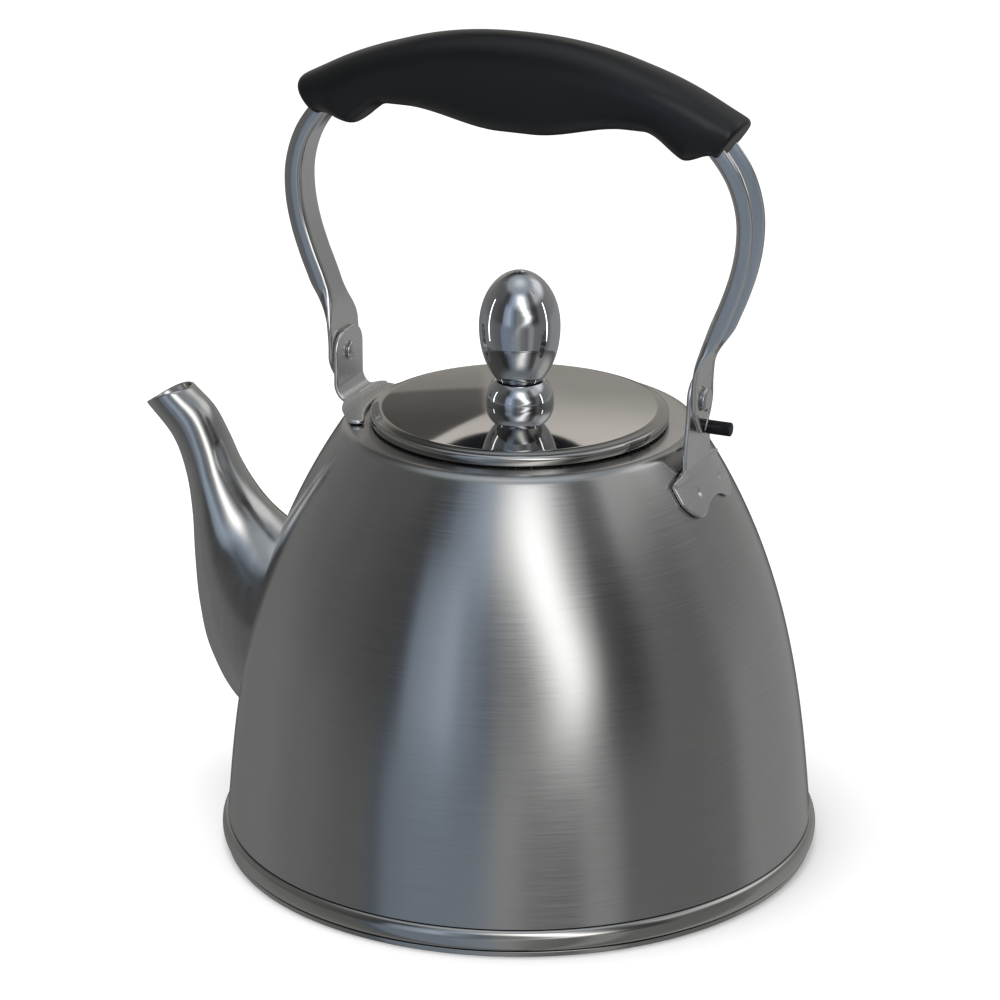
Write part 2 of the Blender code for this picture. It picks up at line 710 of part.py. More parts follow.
def make_stop_peg(bracket, dark, parent):
    """Peg riveted through the rear strap. The tail of the rear tab rests on it while the handle is up."""
    turn = Vector((1, 0, 0)).to_track_quat("Z", "Y").to_matrix().to_4x4()
    place = Matrix.Translation((0, PEG_Y, PEG_Z)) @ turn
    seat = STRAP_X + STRAP_SHEET + GAP
    inside = STRAP_X - GAP
    end = seat + PEG_LENGTH
    outline = (
        (0, end),
        (PEG_RADIUS - 0.5 * MM, end),
        (PEG_RADIUS, end - 0.5 * MM),
        (PEG_RADIUS, seat),
        (PEG_SHANK_RADIUS, seat),
        (PEG_SHANK_RADIUS, inside),
        (2.2 * MM, inside),
        (2.0 * MM, inside - 0.8 * MM),
        (0, inside - 0.8 * MM),
    )
    put(turned(outline, 24, place), "stop_peg", dark, parent)
    ends = (STRAP_X - 3 * MM, PEG_Y, PEG_Z), (STRAP_X + 4 * MM, PEG_Y, PEG_Z)
    cut(bracket, put(rod(*ends, PEG_SHANK_RADIUS + GAP), "peg_hole_cutter", dark))


def empty(name, place):
    """An empty that carries the pieces of one moving body, standing on its joint's axis."""
    holder = bpy.data.objects.new(name, None)
    holder.location = place
    bpy.context.scene.collection.objects.link(holder)
    bpy.context.view_layer.update()
    return holder


def main():
    clear_scene()
    brushed = finish("brushed stainless steel", (0.36, 0.36, 0.35), 0.34, 1.0)
    satin = finish("satin stainless steel", (0.42, 0.42, 0.42), 0.28, 1.0)
    polished = finish("polished stainless steel", (0.58, 0.58, 0.57), 0.10, 1.0)
    chrome = finish("chrome plate", (0.66, 0.67, 0.69), 0.04, 1.0)
    aluminium = finish("pressed aluminium", (0.62, 0.63, 0.64), 0.45, 1.0)
    plastic = finish("black moulded plastic", (0.012, 0.013, 0.015), 0.36, 0.0)
    dark = finish("black oxide steel", (0.035, 0.035, 0.037), 0.42, 0.6)

    make_body(brushed, None)
    make_base(polished, aluminium, None)
    make_spout(polished, None)

    whistle = empty("whistle_slide", WHISTLE_TOP)
    make_whistle(satin, whistle)

    lid = empty("lid_slide", (0, 0, LID_LIP_Z))
    make_lid(polished, satin, lid)
    make_knob(chrome, satin, lid)

    front_bracket = make_front_bracket(satin, None)
    rear_bracket = make_rear_bracket(satin, None)
    make_rivet(-1, "front", front_bracket, satin, None)
    make_rivet(1, "rear", rear_bracket, satin, None)
    make_stop_peg(rear_bracket, dark, None)

    handle = empty("handle_hinge", (0, 0, PIVOT_Z))
    front_arm = make_arm("front_arm", -1, FRONT_TAB_HALF_WIDTH, satin, handle)
    rear_arm = make_arm("rear_arm", 1, REAR_TAB_HALF_WIDTH, satin, handle)
    grip = make_grip(plastic, handle)
    make_grip_screw(-1, "front", grip, front_arm, satin, handle)
    make_grip_screw(1, "rear", grip, rear_arm, satin, handle)


main()
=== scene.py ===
# %% [markdown]
# # A stovetop kettle, piece by piece
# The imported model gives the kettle's bodies, its joints and a plain solid for every piece.
# Those solids are coarse, because a simulator reads them. Here each one that shows is stood for
# by a finer surface of the same size, and gets the finish of the metal or plastic it is made of.

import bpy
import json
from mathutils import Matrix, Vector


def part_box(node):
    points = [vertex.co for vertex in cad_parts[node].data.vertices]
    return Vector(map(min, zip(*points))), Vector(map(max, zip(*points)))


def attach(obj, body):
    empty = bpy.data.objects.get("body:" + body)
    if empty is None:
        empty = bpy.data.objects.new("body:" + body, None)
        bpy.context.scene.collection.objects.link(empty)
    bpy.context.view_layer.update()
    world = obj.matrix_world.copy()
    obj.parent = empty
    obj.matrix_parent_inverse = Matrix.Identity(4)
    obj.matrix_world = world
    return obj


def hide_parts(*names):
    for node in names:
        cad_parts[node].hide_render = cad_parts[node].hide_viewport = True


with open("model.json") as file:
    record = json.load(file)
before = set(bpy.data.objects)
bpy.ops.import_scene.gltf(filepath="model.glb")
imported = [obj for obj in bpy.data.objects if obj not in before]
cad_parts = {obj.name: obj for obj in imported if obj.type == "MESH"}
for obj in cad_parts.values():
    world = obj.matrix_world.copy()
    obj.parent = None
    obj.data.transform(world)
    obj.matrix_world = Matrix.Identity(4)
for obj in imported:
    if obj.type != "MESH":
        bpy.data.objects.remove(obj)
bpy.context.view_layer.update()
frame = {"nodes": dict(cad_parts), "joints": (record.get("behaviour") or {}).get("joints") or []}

# %% Modules and units
import json
import math

import bmesh
import bpy
import numpy as np
from mathutils import Matrix, Vector

MM = 0.001

# %% [markdown]
# ## The camera
# A kettle is usually shown from a little above and from its side, so that the spout, the lid and
# the handle are all seen. A long lens from more than a metre away keeps the bell from looking
# swollen. The camera's place is given as an angle round the kettle, a distance and a height.

# %% Camera
TURN = 0.4166
DISTANCE = 1.2865
HEIGHT = 0.5884
TILT = 0.3466
SIDESTEP = 6.7 * MM

to_camera = np.array((math.sin(TURN), -math.cos(TURN), 0.0))
to_right = np.array((math.cos(TURN), math.sin(TURN), 0.0))
aim = Vector(-SIDESTEP * to_right) + Vector((0, 0, HEIGHT - DISTANCE * math.tan(TILT)))
camera = bpy.data.objects.new("camera", bpy.data.cameras.new("camera"))
bpy.context.scene.collection.objects.link(camera)
camera.location = Vector(DISTANCE * to_camera) + Vector((0, 0, HEIGHT))
camera.rotation_euler = (aim - camera.location).to_track_quat("-Z", "Y").to_euler()
camera.data.sensor_width = 36
camera.data.lens = 142.6
bpy.context.scene.camera = camera
print("camera at", [round(c, 3) for c in camera.location])

# %% [markdown]
# ## Colours and nodes
# A colour is given as an sRGB hex value, but a shader multiplies light, so it needs the
# linear value. One function does that. Another adds any shader node with its settings and links,
# which keeps each material short enough to read as a recipe.

# %% Colour and node helpers
def linear(hex_colour):
    """The linear colour of an sRGB hex value such as 8a8c8e, with an alpha of 1."""
    srgb = np.array([int(hex_colour[i : i + 2], 16) for i in (0, 2, 4)]) / 255
    value = np.where(srgb <= 0.04045, srgb / 12.92, ((srgb + 0.055) / 1.055) ** 2.4)
    return (*value, 1.0)


def add(tree, kind, own=None, values=None, links=None):
    """One node: own is its settings, values its unlinked inputs, links the sockets that feed it."""
    node = tree.nodes.new(kind)
    for name, value in (own or {}).items():
        setattr(node, name, value)
    for name, value in (values or {}).items():
        node.inputs[name].default_value = value
    for name, socket in (links or {}).items():
        tree.links.new(socket, node.inputs[name])
    return node


print("mid grey is", [round(c, 3) for c in linear("808080")[:3]])

# %% [markdown]
# ## The floor
# The kettle stands on a sheet of white paper that runs far out of view. Paper is close to a
# perfect diffuser. A mirror-like reflection doesn't see the paper but the dim lower half of the
# room, as if the sheet ended just out of view, because polished steel over plain white looks flat.

# %% Floor
floor_mesh = bpy.data.meshes.new("floor")
ring = np.linspace(0, math.tau, 96, endpoint=False)
floor_points = np.stack([9 * np.cos(ring), 9 * np.sin(ring), np.zeros(96)], axis=1)
floor_mesh.from_pydata(floor_points.tolist(), [], [list(range(96))])
floor = bpy.data.objects.new("floor", floor_mesh)
bpy.context.scene.collection.objects.link(floor)

paper = bpy.data.materials.new("white paper sweep")
paper.use_nodes = True
tree = paper.node_tree
tree.nodes.clear()
path = add(tree, "ShaderNodeLightPath")
sheet = add(tree, "ShaderNodeBsdfDiffuse", values={"Color": linear("fbfbfb")})
gone = add(tree, "ShaderNodeBsdfTransparent")
both = add(
    tree,
    "ShaderNodeMixShader",
    links={0: path.outputs["Is Glossy Ray"], 1: sheet.outputs[0], 2: gone.outputs[0]},
)
add(tree, "ShaderNodeOutputMaterial", links={"Surface": both.outputs[0]})
floor_mesh.materials.append(paper)
print("floor radius 9 m")

# %% [markdown]
# ## The room
# Bright metal shows the room more than itself, so the room is drawn for it: what stands at each
# angle round the kettle and at each height. Angles count from the camera, positive to its right.
# A row of cards is a list of (angle, brightness, tint), where brightness 1 is white. There is a
# row near the floor, one at the height of the kettle and one above it. In front hangs one tall
# bright strip, which leans: its angle is a curve of the height. That strip draws the ridge of
# light down the bell. Only reflections see this room. Everything else sees plain white.

# %% Room cards
NEUTRAL, COOL, WARM = "ffffff", "d6e6fa", "fffaf3"
LOW_CARDS = (
    (-180, 0.04, NEUTRAL), (-170, 0.06, NEUTRAL), (-160, 0.20, NEUTRAL), (-118, 0.26, NEUTRAL),
    (-98, 0.23, NEUTRAL), (-66, 0.17, NEUTRAL), (-57, 0.20, COOL), (-52, 0.36, COOL),
    (-40, 0.38, COOL), (-28, 0.36, COOL), (-16, 0.32, COOL), (-4, 0.34, NEUTRAL),
    (8, 0.24, NEUTRAL), (20, 0.20, NEUTRAL), (30, 0.36, NEUTRAL), (36, 0.36, NEUTRAL),
    (44, 0.21, NEUTRAL), (71, 0.20, NEUTRAL), (90, 0.22, NEUTRAL), (104, 0.36, NEUTRAL),
    (155, 0.34, NEUTRAL), (170, 0.06, NEUTRAL), (180, 0.04, NEUTRAL),
)
MIDDLE_CARDS = (
    (-180, 0.42, WARM), (-160, 0.40, WARM), (-145, 0.24, NEUTRAL), (-114, 0.19, NEUTRAL),
    (-92, 0.15, NEUTRAL), (-60, 0.09, NEUTRAL), (-53, 0.10, COOL), (-46, 0.50, COOL),
    (-40, 0.62, COOL), (-31, 0.78, COOL), (-22, 0.44, COOL), (-14, 0.28, COOL),
    (-4, 0.30, NEUTRAL), (24, 0.50, NEUTRAL), (33, 0.30, NEUTRAL), (38, 0.09, NEUTRAL),
    (50, 0.07, NEUTRAL), (65, 0.19, NEUTRAL), (82, 0.18, NEUTRAL), (100, 0.26, NEUTRAL),
    (125, 0.30, NEUTRAL), (165, 0.38, WARM), (180, 0.42, WARM),
)
HIGH_CARDS = (
    (-180, 0.04, NEUTRAL), (-123, 0.17, NEUTRAL), (-74, 0.14, NEUTRAL), (-55, 0.08, NEUTRAL),
    (-46, 0.12, COOL), (-38, 0.38, COOL), (-22, 0.75, COOL), (-8, 0.85, NEUTRAL),
    (18, 0.75, NEUTRAL), (30, 0.42, NEUTRAL), (41, 0.16, NEUTRAL), (50, 0.20, NEUTRAL),
    (61, 0.62, NEUTRAL), (81, 0.65, NEUTRAL), (104, 1.05, NEUTRAL), (128, 1.05, NEUTRAL),
    (145, 0.50, NEUTRAL), (180, 0.04, NEUTRAL),
)
# (height in degrees, angle of the strip, its brightness, half its width)
STRIP = (
    (-20, -16, 0.10, 8), (-9, -8, 0.10, 8), (-4, 0, 0.12, 8), (0, 10, 0.30, 8), (5, 22, 1.2, 8),
    (11, 25, 1.9, 8), (18, 19, 2.3, 8), (27, 12, 2.0, 9), (40, 6, 1.7, 12), (60, 2, 0.6, 16), (90, 0, 0, 20),
)
BRIGHTEST = 3


def ramp(tree, factor, low, high, stops, mode="EASE"):
    """A colour ramp over factor, from low to high. A stop is (value, red green blue alpha)."""
    limits = {"From Min": low, "From Max": high}
    span = add(tree, "ShaderNodeMapRange", values=limits, links={"Value": factor})
    node = add(tree, "ShaderNodeValToRGB", links={0: span.outputs[0]})
    band = node.color_ramp
    band.interpolation = mode
    while len(band.elements) < len(stops):
        band.elements.new(0.5)
    for element, (value, colour) in zip(band.elements, stops):
        element.position = (value - low) / (high - low)
    for element, (value, colour) in zip(band.elements, stops):
        element.color = colour
    return node


def tinted(brightness, tint, alpha=1.0):
    """A tint as a linear colour times a brightness, with its alpha."""
    return (*(brightness * c for c in linear(tint)[:3]), alpha)


def maths(tree, operation, *inputs):
    """A Math node. Each input is a number or the socket that feeds it."""
    values = {i: v for i, v in enumerate(inputs) if isinstance(v, (int, float))}
    links = {i: v for i, v in enumerate(inputs) if i not in values}
    return add(tree, "ShaderNodeMath", {"operation": operation}, values, links).outputs[0]


print("cards:", len(LOW_CARDS), len(MIDDLE_CARDS), len(HIGH_CARDS))

# %% Room
world = bpy.data.worlds.new("studio")
bpy.context.scene.world = world
world.use_nodes = True
tree = world.node_tree
tree.nodes.clear()
path = add(tree, "ShaderNodeLightPath")
way = add(tree, "ShaderNodeTexCoord").outputs["Generated"]
dot = {"operation": "DOT_PRODUCT"}
axes = [
    add(tree, "ShaderNodeVectorMath", dot, {1: tuple(axis)}, {0: way}).outputs["Value"]
    for axis in (to_right, to_camera, (0, 0, 1))
]
DEGREE = 180 / math.pi
angle = maths(tree, "MULTIPLY", maths(tree, "ARCTAN2", axes[0], axes[1]), DEGREE)
height = maths(tree, "MULTIPLY", maths(tree, "ARCSINE", axes[2]), DEGREE)
rows = [
    ramp(tree, angle, -180, 180, [(at, tinted(b, tint)) for at, b, tint in cards]).outputs[0]
    for cards in (LOW_CARDS, MIDDLE_CARDS, HIGH_CARDS)
]


def blend(factor, first, second):
    """Mixes two colours by a factor socket."""
    links = {0: factor, 6: first, 7: second}
    return add(tree, "ShaderNodeMix", {"data_type": "RGBA"}, links=links).outputs[2]


def rise(value, start, stop):
    """0 below start, 1 above stop, smooth between them."""
    own, limits = {"interpolation_type": "SMOOTHSTEP"}, {"From Min": start, "From Max": stop}
    return add(tree, "ShaderNodeMapRange", own, limits, {"Value": value}).outputs[0]


room = blend(rise(height, -7, 4), rows[0], rows[1])
room = blend(rise(height, 21, 36), room, rows[2])
# One ramp carries the strip's three curves, as its red, green and blue between 0 and 1
stops = [(at, ((place + 90) / 180, glow / BRIGHTEST, half / 90, 1)) for at, place, glow, half in STRIP]
strip = ramp(tree, height, -90, 90, stops)
strip = add(tree, "ShaderNodeSeparateColor", links={0: strip.outputs[0]}).outputs
place = maths(tree, "MULTIPLY_ADD", strip[0], 180, -90)
away = maths(tree, "DIVIDE", maths(tree, "SUBTRACT", angle, place), maths(tree, "MULTIPLY", strip[2], 90))
fading = maths(tree, "POWER", math.e, maths(tree, "MULTIPLY", maths(tree, "MULTIPLY", away, away), -0.7))
glow = maths(tree, "MULTIPLY", maths(tree, "MULTIPLY", strip[1], BRIGHTEST), fading)
sum_of = {"data_type": "RGBA", "blend_type": "ADD"}
room = add(tree, "ShaderNodeMix", sum_of, {0: 1.0}, {6: room, 7: glow}).outputs[2]
# The ceiling: dim and cool at first, and a broad white panel overhead
stops = [(45, (0.3, 0.32, 0.35, 0)), (62, (0.42, 0.46, 0.5, 1)), (90, (0.9, 0.93, 0.97, 1))]
ceiling = ramp(tree, height, 0, 90, stops)
room = blend(ceiling.outputs[1], room, ceiling.outputs[0])
# The far end, which the flat lid mirrors. On the right a lit wall. On the left a dark wall with a
# lit slope behind it. In the middle a round black doorway. Angles here count from straight behind.
away_from_camera = maths(tree, "MULTIPLY", axes[1], -1)
behind = maths(tree, "MULTIPLY", maths(tree, "ARCTAN2", axes[0], away_from_camera), DEGREE)
LIT_WALL = ((8, 0.40), (15, 0.44), (25, 0.84))
DARK_WALL = ((9, 0.42), (15.4, 0.34), (16.2, 0.16), (22, 0.11))
lit, shade = (
    ramp(tree, height, 0, 40, [(at, tinted(b, WARM)) for at, b in wall]) for wall in (LIT_WALL, DARK_WALL)
)
slope = rise(maths(tree, "MULTIPLY_ADD", behind, 1.95, height), 18.0, 18.5)
left_end = blend(slope, shade.outputs[0], lit.outputs[0])
far = blend(rise(behind, -1.3, -0.9), left_end, lit.outputs[0])
DOOR_ANGLE, DOOR_HEIGHT, DOOR_HALF_WIDTH, DOOR_HALF_HEIGHT = -0.25, 28.5, 3.1, 5.2
across = maths(tree, "DIVIDE", maths(tree, "SUBTRACT", behind, DOOR_ANGLE), DOOR_HALF_WIDTH)
upward = maths(tree, "DIVIDE", maths(tree, "SUBTRACT", height, DOOR_HEIGHT), DOOR_HALF_HEIGHT)
squares = (maths(tree, "MULTIPLY", one_way, one_way) for one_way in (across, upward))
from_door = maths(tree, "SQRT", maths(tree, "ADD", *squares))
dark = add(tree, "ShaderNodeRGB")
dark.outputs[0].default_value = tinted(0.022, COOL)
far = blend(rise(from_door, 0.97, 1.03), dark.outputs[0], far)
near_axis = rise(maths(tree, "ABSOLUTE", behind), 7.5, 5.8)
in_height = maths(tree, "MULTIPLY", rise(height, 4, 9), rise(height, 36, 30))
room = blend(maths(tree, "MULTIPLY", near_axis, in_height), room, far)
dim = add(tree, "ShaderNodeBackground", links={"Color": room})
bright = add(tree, "ShaderNodeBackground", values={"Color": (1, 1, 1, 1), "Strength": 1.0})
both = add(
    tree,
    "ShaderNodeMixShader",
    links={0: path.outputs["Is Glossy Ray"], 1: bright.outputs[0], 2: dim.outputs[0]},
)
add(tree, "ShaderNodeOutputWorld", links={"Surface": both.outputs[0]})
bpy.context.scene.view_settings.view_transform = "Standard"
print("room nodes:", len(tree.nodes))

# %% [markdown]
# One broad softbox overhead adds the faint shadow that seats the kettle on the paper.

# %% Overhead softbox
light = bpy.data.lights.new("overhead softbox", "AREA")
light.shape = "DISK"
light.size = 1.6
light.energy = 13.0
overhead = bpy.data.objects.new("overhead softbox", light)
overhead.location = (-0.3, -0.3, 1.7)
overhead.rotation_euler = (Vector((0, 0, 0.1)) - overhead.location).to_track_quat("-Z", "Y").to_euler()
overhead.visible_camera = False
overhead.visible_glossy = False
bpy.context.scene.collection.objects.link(overhead)
print("softbox at", tuple(round(c, 2) for c in overhead.location))

# %% [markdown]
# ## Surfaces from formulas
# Nearly every piece here is a surface with two directions: round and along. Its points are worked
# out as one array, rows by columns, and each four neighbours make a face. A pole, where a whole
# row falls on one point, is merged. A closed skin has a signed volume, and if that is negative the
# faces point inwards and are all turned.

# %% Surface helper
def surface(name, grid, material, body, replaced, close="rows", sharp=38):
    """A piece from a grid of points (rows, columns, xyz) that closes round its columns.

    close says how the rows end: "rows" joins the last to the first, "middle" closes each end row
    at its middle point, and "merged" is for end rows that fall on a line or a point by themselves.
    """
    loop_rows = close == "rows"
    if close == "middle":
        ends = [np.broadcast_to(row.mean(0), row.shape)[None] for row in (grid[0], grid[-1])]
        grid = np.concatenate([ends[0], grid, ends[1]])
    rows, columns = grid.shape[:2]
    r, c = np.meshgrid(np.arange(rows if loop_rows else rows - 1), np.arange(columns), indexing="ij")
    below, beside = (r + 1) % rows, (c + 1) % columns
    corners = (r * columns + c, r * columns + beside, below * columns + beside, below * columns + c)
    faces = np.stack(corners, axis=-1).reshape(-1, 4)
    points = grid.reshape(-1, 3)
    a, b, c, d = (points[faces[:, k]] for k in range(4))
    volume = (np.cross(a, b) * c).sum() + (np.cross(a, c) * d).sum()
    if volume < 0:
        faces = faces[:, ::-1]
    mesh = bpy.data.meshes.new(name)
    mesh.from_pydata(points.tolist(), [], faces.tolist())
    merged = bmesh.new()
    merged.from_mesh(mesh)
    bmesh.ops.remove_doubles(merged, verts=merged.verts, dist=1e-7)
    merged.to_mesh(mesh)
    merged.free()
    mesh.shade_smooth()
    mesh.set_sharp_from_angle(angle=math.radians(sharp))
    mesh.materials.append(material)
    piece = bpy.data.objects.new(name, mesh)
    bpy.context.scene.collection.objects.link(piece)
    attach(piece, body)
    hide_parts(*replaced)
    print(f"{name}: {len(mesh.polygons)} faces, {abs(volume) / 6e-6:.1f} cm3")
    return piece


def turned(outline, count=256, matrix=None):
    """The grid of an outline (radius, height) carried round Z: x = radius cos, y = radius sin."""
    angle = np.linspace(0, math.tau, count, endpoint=False)
    radius, height = np.asarray(outline, float).T[:, :, None]
    flat = np.broadcast_to(height, (len(height), count))
    grid = np.stack([radius * np.cos(angle), radius * np.sin(angle), flat], axis=2)
    if matrix is None:
        return grid
    turn, move = np.array(matrix.to_3x3()), np.array(matrix.translation)
    return grid @ turn.T + move


def softened(corners, steps=7):
    """A closed outline in metres from corners (radius, height, cut) in mm.

    A corner with a cut becomes a parabola that leaves each side at that distance from the corner.
    """
    corners = np.asarray(corners, float)
    here, cut = corners[:, :2] * MM, corners[:, 2] * MM
    t = np.linspace(0, 1, steps)[:, None]
    pieces = []
    for i in range(len(here)):
        before, after = (here[j] - here[i] for j in (i - 1, (i + 1) % len(here)))
        start = here[i] + before / np.linalg.norm(before) * cut[i]
        stop = here[i] + after / np.linalg.norm(after) * cut[i]
        curve = (1 - t) ** 2 * start + 2 * t * (1 - t) * here[i] + t**2 * stop
        pieces.append(curve if cut[i] else here[i : i + 1])
    return np.concatenate(pieces)


def smoothstep(low, high, value):
    """0 below low, 1 above high, and 3t^2 - 2t^3 between them."""
    t = np.clip((value - low) / (high - low), 0, 1)
    return t * t * (3 - 2 * t)


def curve_through(points, count):
    """A Catmull-Rom curve through the points, read at count even steps of its parameter."""
    points = np.asarray(points, float)
    padded = np.vstack([2 * points[0] - points[1], points, 2 * points[-1] - points[-2]])
    steps = np.linspace(0, len(points) - 1, count)
    index = np.minimum(steps.astype(int), len(points) - 2)
    t = (steps - index)[:, None]
    a, b, c, d = (padded[index + k] for k in range(4))
    square = (2 * a - 5 * b + 4 * c - d) * t**2
    cube = (3 * b - a - 3 * c + d) * t**3
    return 0.5 * (2 * b + (c - a) * t + square + cube)


print("a 10 mm disc has", turned(((0, 0), (10 * MM, 0)), 8).shape, "points")

# %% [markdown]
# ## Finishes
# The bell is cold-rolled stainless sheet, AISI 304, spun to shape and then brushed on a belt while
# it turns, so fine scratches run round it. The lid, spout and bead are buffed until they mirror.
# Brackets and arms are satin. The knob is chrome plated. The grip is black phenolic, moulded and
# lightly textured. Chrome and steel keep the shader's own IOR, because a metal's look is its colour.

# %% Metal recipe
def metal(name, colours, roughness, grain, bump, smear=0.0, cloud=0.0):
    """A metal whose colour, roughness and height follow fine streaks.

    grain is the size of a streak in mm along x, y and z. roughness is (smooth, rough).
    cloud is how far a slow cloud, about 25 mm across, moves the colour.
    """
    material = bpy.data.materials.new(name)
    material.use_nodes = True
    tree = material.node_tree
    shader = tree.nodes["Principled BSDF"]
    shader.inputs["Metallic"].default_value = 1.0
    shader.inputs["Anisotropic"].default_value = smear
    shader.inputs["Anisotropic Rotation"].default_value = 0.25 if smear else 0.0
    where = add(tree, "ShaderNodeTexCoord").outputs["Object"]
    scale = tuple(1 / (size * MM) for size in grain)
    placed = add(tree, "ShaderNodeMapping", values={"Scale": scale}, links={"Vector": where})
    streaks = add(
        tree,
        "ShaderNodeTexNoise",
        values={"Scale": 1.0, "Detail": 3.0, "Roughness": 0.6},
        links={"Vector": placed.outputs[0]},
    )
    slow = add(
        tree,
        "ShaderNodeTexNoise",
        values={"Scale": 1 / (25 * MM), "Detail": 2.0},
        links={"Vector": where},
    )
    tone = add(
        tree,
        "ShaderNodeMix",
        {"data_type": "FLOAT"},
        {0: cloud},
        {2: streaks.outputs[0], 3: slow.outputs[0]},
    )
    spread = add(
        tree,
        "ShaderNodeMapRange",
        values={"From Min": 0.3, "From Max": 0.7},
        links={"Value": tone.outputs[0]},
    )
    colour = add(
        tree,
        "ShaderNodeMix",
        {"data_type": "RGBA"},
        {6: linear(colours[0]), 7: linear(colours[1])},
        {0: spread.outputs[0]},
    )
    rough = add(
        tree,
        "ShaderNodeMapRange",
        values={"From Min": 0.3, "From Max": 0.7, "To Min": roughness[0], "To Max": roughness[1]},
        links={"Value": streaks.outputs[0]},
    )
    height = add(
        tree,
        "ShaderNodeBump",
        values={"Strength": bump[0], "Distance": bump[1] * MM},
        links={"Height": streaks.outputs[0]},
    )
    if smear:
        round_z = add(tree, "ShaderNodeTangent", {"direction_type": "RADIAL", "axis": "Z"})
        tree.links.new(round_z.outputs[0], shader.inputs["Tangent"])
    tree.links.new(colour.outputs[2], shader.inputs["Base Color"])
    tree.links.new(rough.outputs[0], shader.inputs["Roughness"])
    tree.links.new(height.outputs[0], shader.inputs["Normal"])
    return material


# %% The metals
brushed_steel = metal(
    "brushed stainless steel", ("b3b3b2", "bcbcbb"), (0.17, 0.22), (20, 20, 0.4), (0.17, 0.012), 0.8, 0.3
)
mirror_steel = metal(
    "mirror-buffed stainless steel", ("b7b6b3", "bdbcb9"), (0.03, 0.045), (25, 25, 25), (0.02, 0.01), 0.0, 0.5
)
polished_steel = metal(
    "buffed stainless steel", ("b6b5b2", "c0bfbc"), (0.07, 0.11), (30, 30, 0.6), (0.04, 0.01), 0.0, 0.5
)
ground_steel = metal(
    "ground and mopped steel", ("b6b6b5", "c2c2c1"), (0.13, 0.18), (3, 3, 30), (0.04, 0.01), 0.0, 0.4
)
satin_steel = metal(
    "satin stainless steel", ("cfcfcf", "dadada"), (0.22, 0.28), (0.8, 0.8, 12), (0.04, 0.004), 0.0, 0.5
)
barrelled_steel = metal(
    "barrel-polished steel", ("c8c8c7", "d4d4d3"), (0.09, 0.14), (0.8, 0.8, 14), (0.03, 0.004), 0.0, 0.5
)
chrome = metal("chrome plate", ("c4c6ca", "cccdd0"), (0.015, 0.03), (8, 8, 8), (0.02, 0.01), 0.0, 0.5)
spreader = metal("pressed aluminium", ("b9babc", "cfd0d2"), (0.35, 0.5), (3, 3, 3), (0.2, 0.05), 0.0, 0.3)
peg_black = metal("black oxide steel", ("2c2c2e", "3b3b3d"), (0.32, 0.48), (2, 2, 2), (0.2, 0.02), 0.0, 0.3)
print("metals:", [m.name for m in bpy.data.materials])

# %% [markdown]
# Phenolic is a thermoset. Filled and black, it reflects like a plastic with an IOR of 1.5. The mould
# is spark-eroded to a fine matt skin, under a millimetre from bump to bump, which spreads the
# highlight into a soft sheen.

# %% The plastic
phenolic = bpy.data.materials.new("black moulded phenolic")
phenolic.use_nodes = True
tree = phenolic.node_tree
shader = tree.nodes["Principled BSDF"]
shader.inputs["IOR"].default_value = 1.5
where = add(tree, "ShaderNodeTexCoord").outputs["Object"]
SKIN_MM, WEAR_MM = 0.8, 30
skin, wear = (
    add(tree, "ShaderNodeTexNoise", None, {"Scale": 1 / (size * MM), "Detail": 3.0}, {"Vector": where})
    for size in (SKIN_MM, WEAR_MM)
)
tint = add(
    tree,
    "ShaderNodeMix",
    {"data_type": "RGBA"},
    {6: linear("050607"), 7: linear("0c0e10")},
    {0: wear.outputs[0]},
)
rough = add(
    tree,
    "ShaderNodeMapRange",
    values={"From Min": 0.35, "From Max": 0.65, "To Min": 0.30, "To Max": 0.38},
    links={"Value": wear.outputs[0]},
)
height = add(
    tree,
    "ShaderNodeBump",
    values={"Strength": 0.15, "Distance": 0.03 * MM},
    links={"Height": skin.outputs[0]},
)
tree.links.new(tint.outputs[2], shader.inputs["Base Color"])
tree.links.new(rough.outputs[0], shader.inputs["Roughness"])
tree.links.new(height.outputs[0], shader.inputs["Normal"])
print("plastic:", phenolic.name)

# %% [markdown]
# ## The bell
# The body is one sheet spun over a former. Its wall leans in slowly at the foot and faster towards
# the top: radius falls with a straight part and a cube of the height. At the top the sheet folds
# over a small radius into a narrow flat ring, and dips into the neck that takes the lid.
# The outline is worked out once, and the inner face is the same line moved in by the sheet.

# %% Bell outline
FOLD_Z = 151 * MM
FOLD_RADIUS = 5 * MM
FOOT_Z = 9.8 * MM
WALL_FOOT, WALL_LEAN, WALL_CURL = 103.8, 12.5, 29.8
NECK_RADIUS = 44.5 * MM
NECK_FOLD = 1.5 * MM
SHEET = 0.9 * MM


def wall_radius(z):
    """Radius of the bell: 103.8 - 12.5 t - 29.8 t^3 mm, where t is the height over the fold's."""
    t = z / FOLD_Z
    return (WALL_FOOT - WALL_LEAN * t - WALL_CURL * t**3) * MM


def wall_slope(z):
    """How fast the radius shrinks with height: the derivative of the same curve."""
    return (WALL_LEAN + 3 * WALL_CURL * (z / FOLD_Z) ** 2) * MM / FOLD_Z


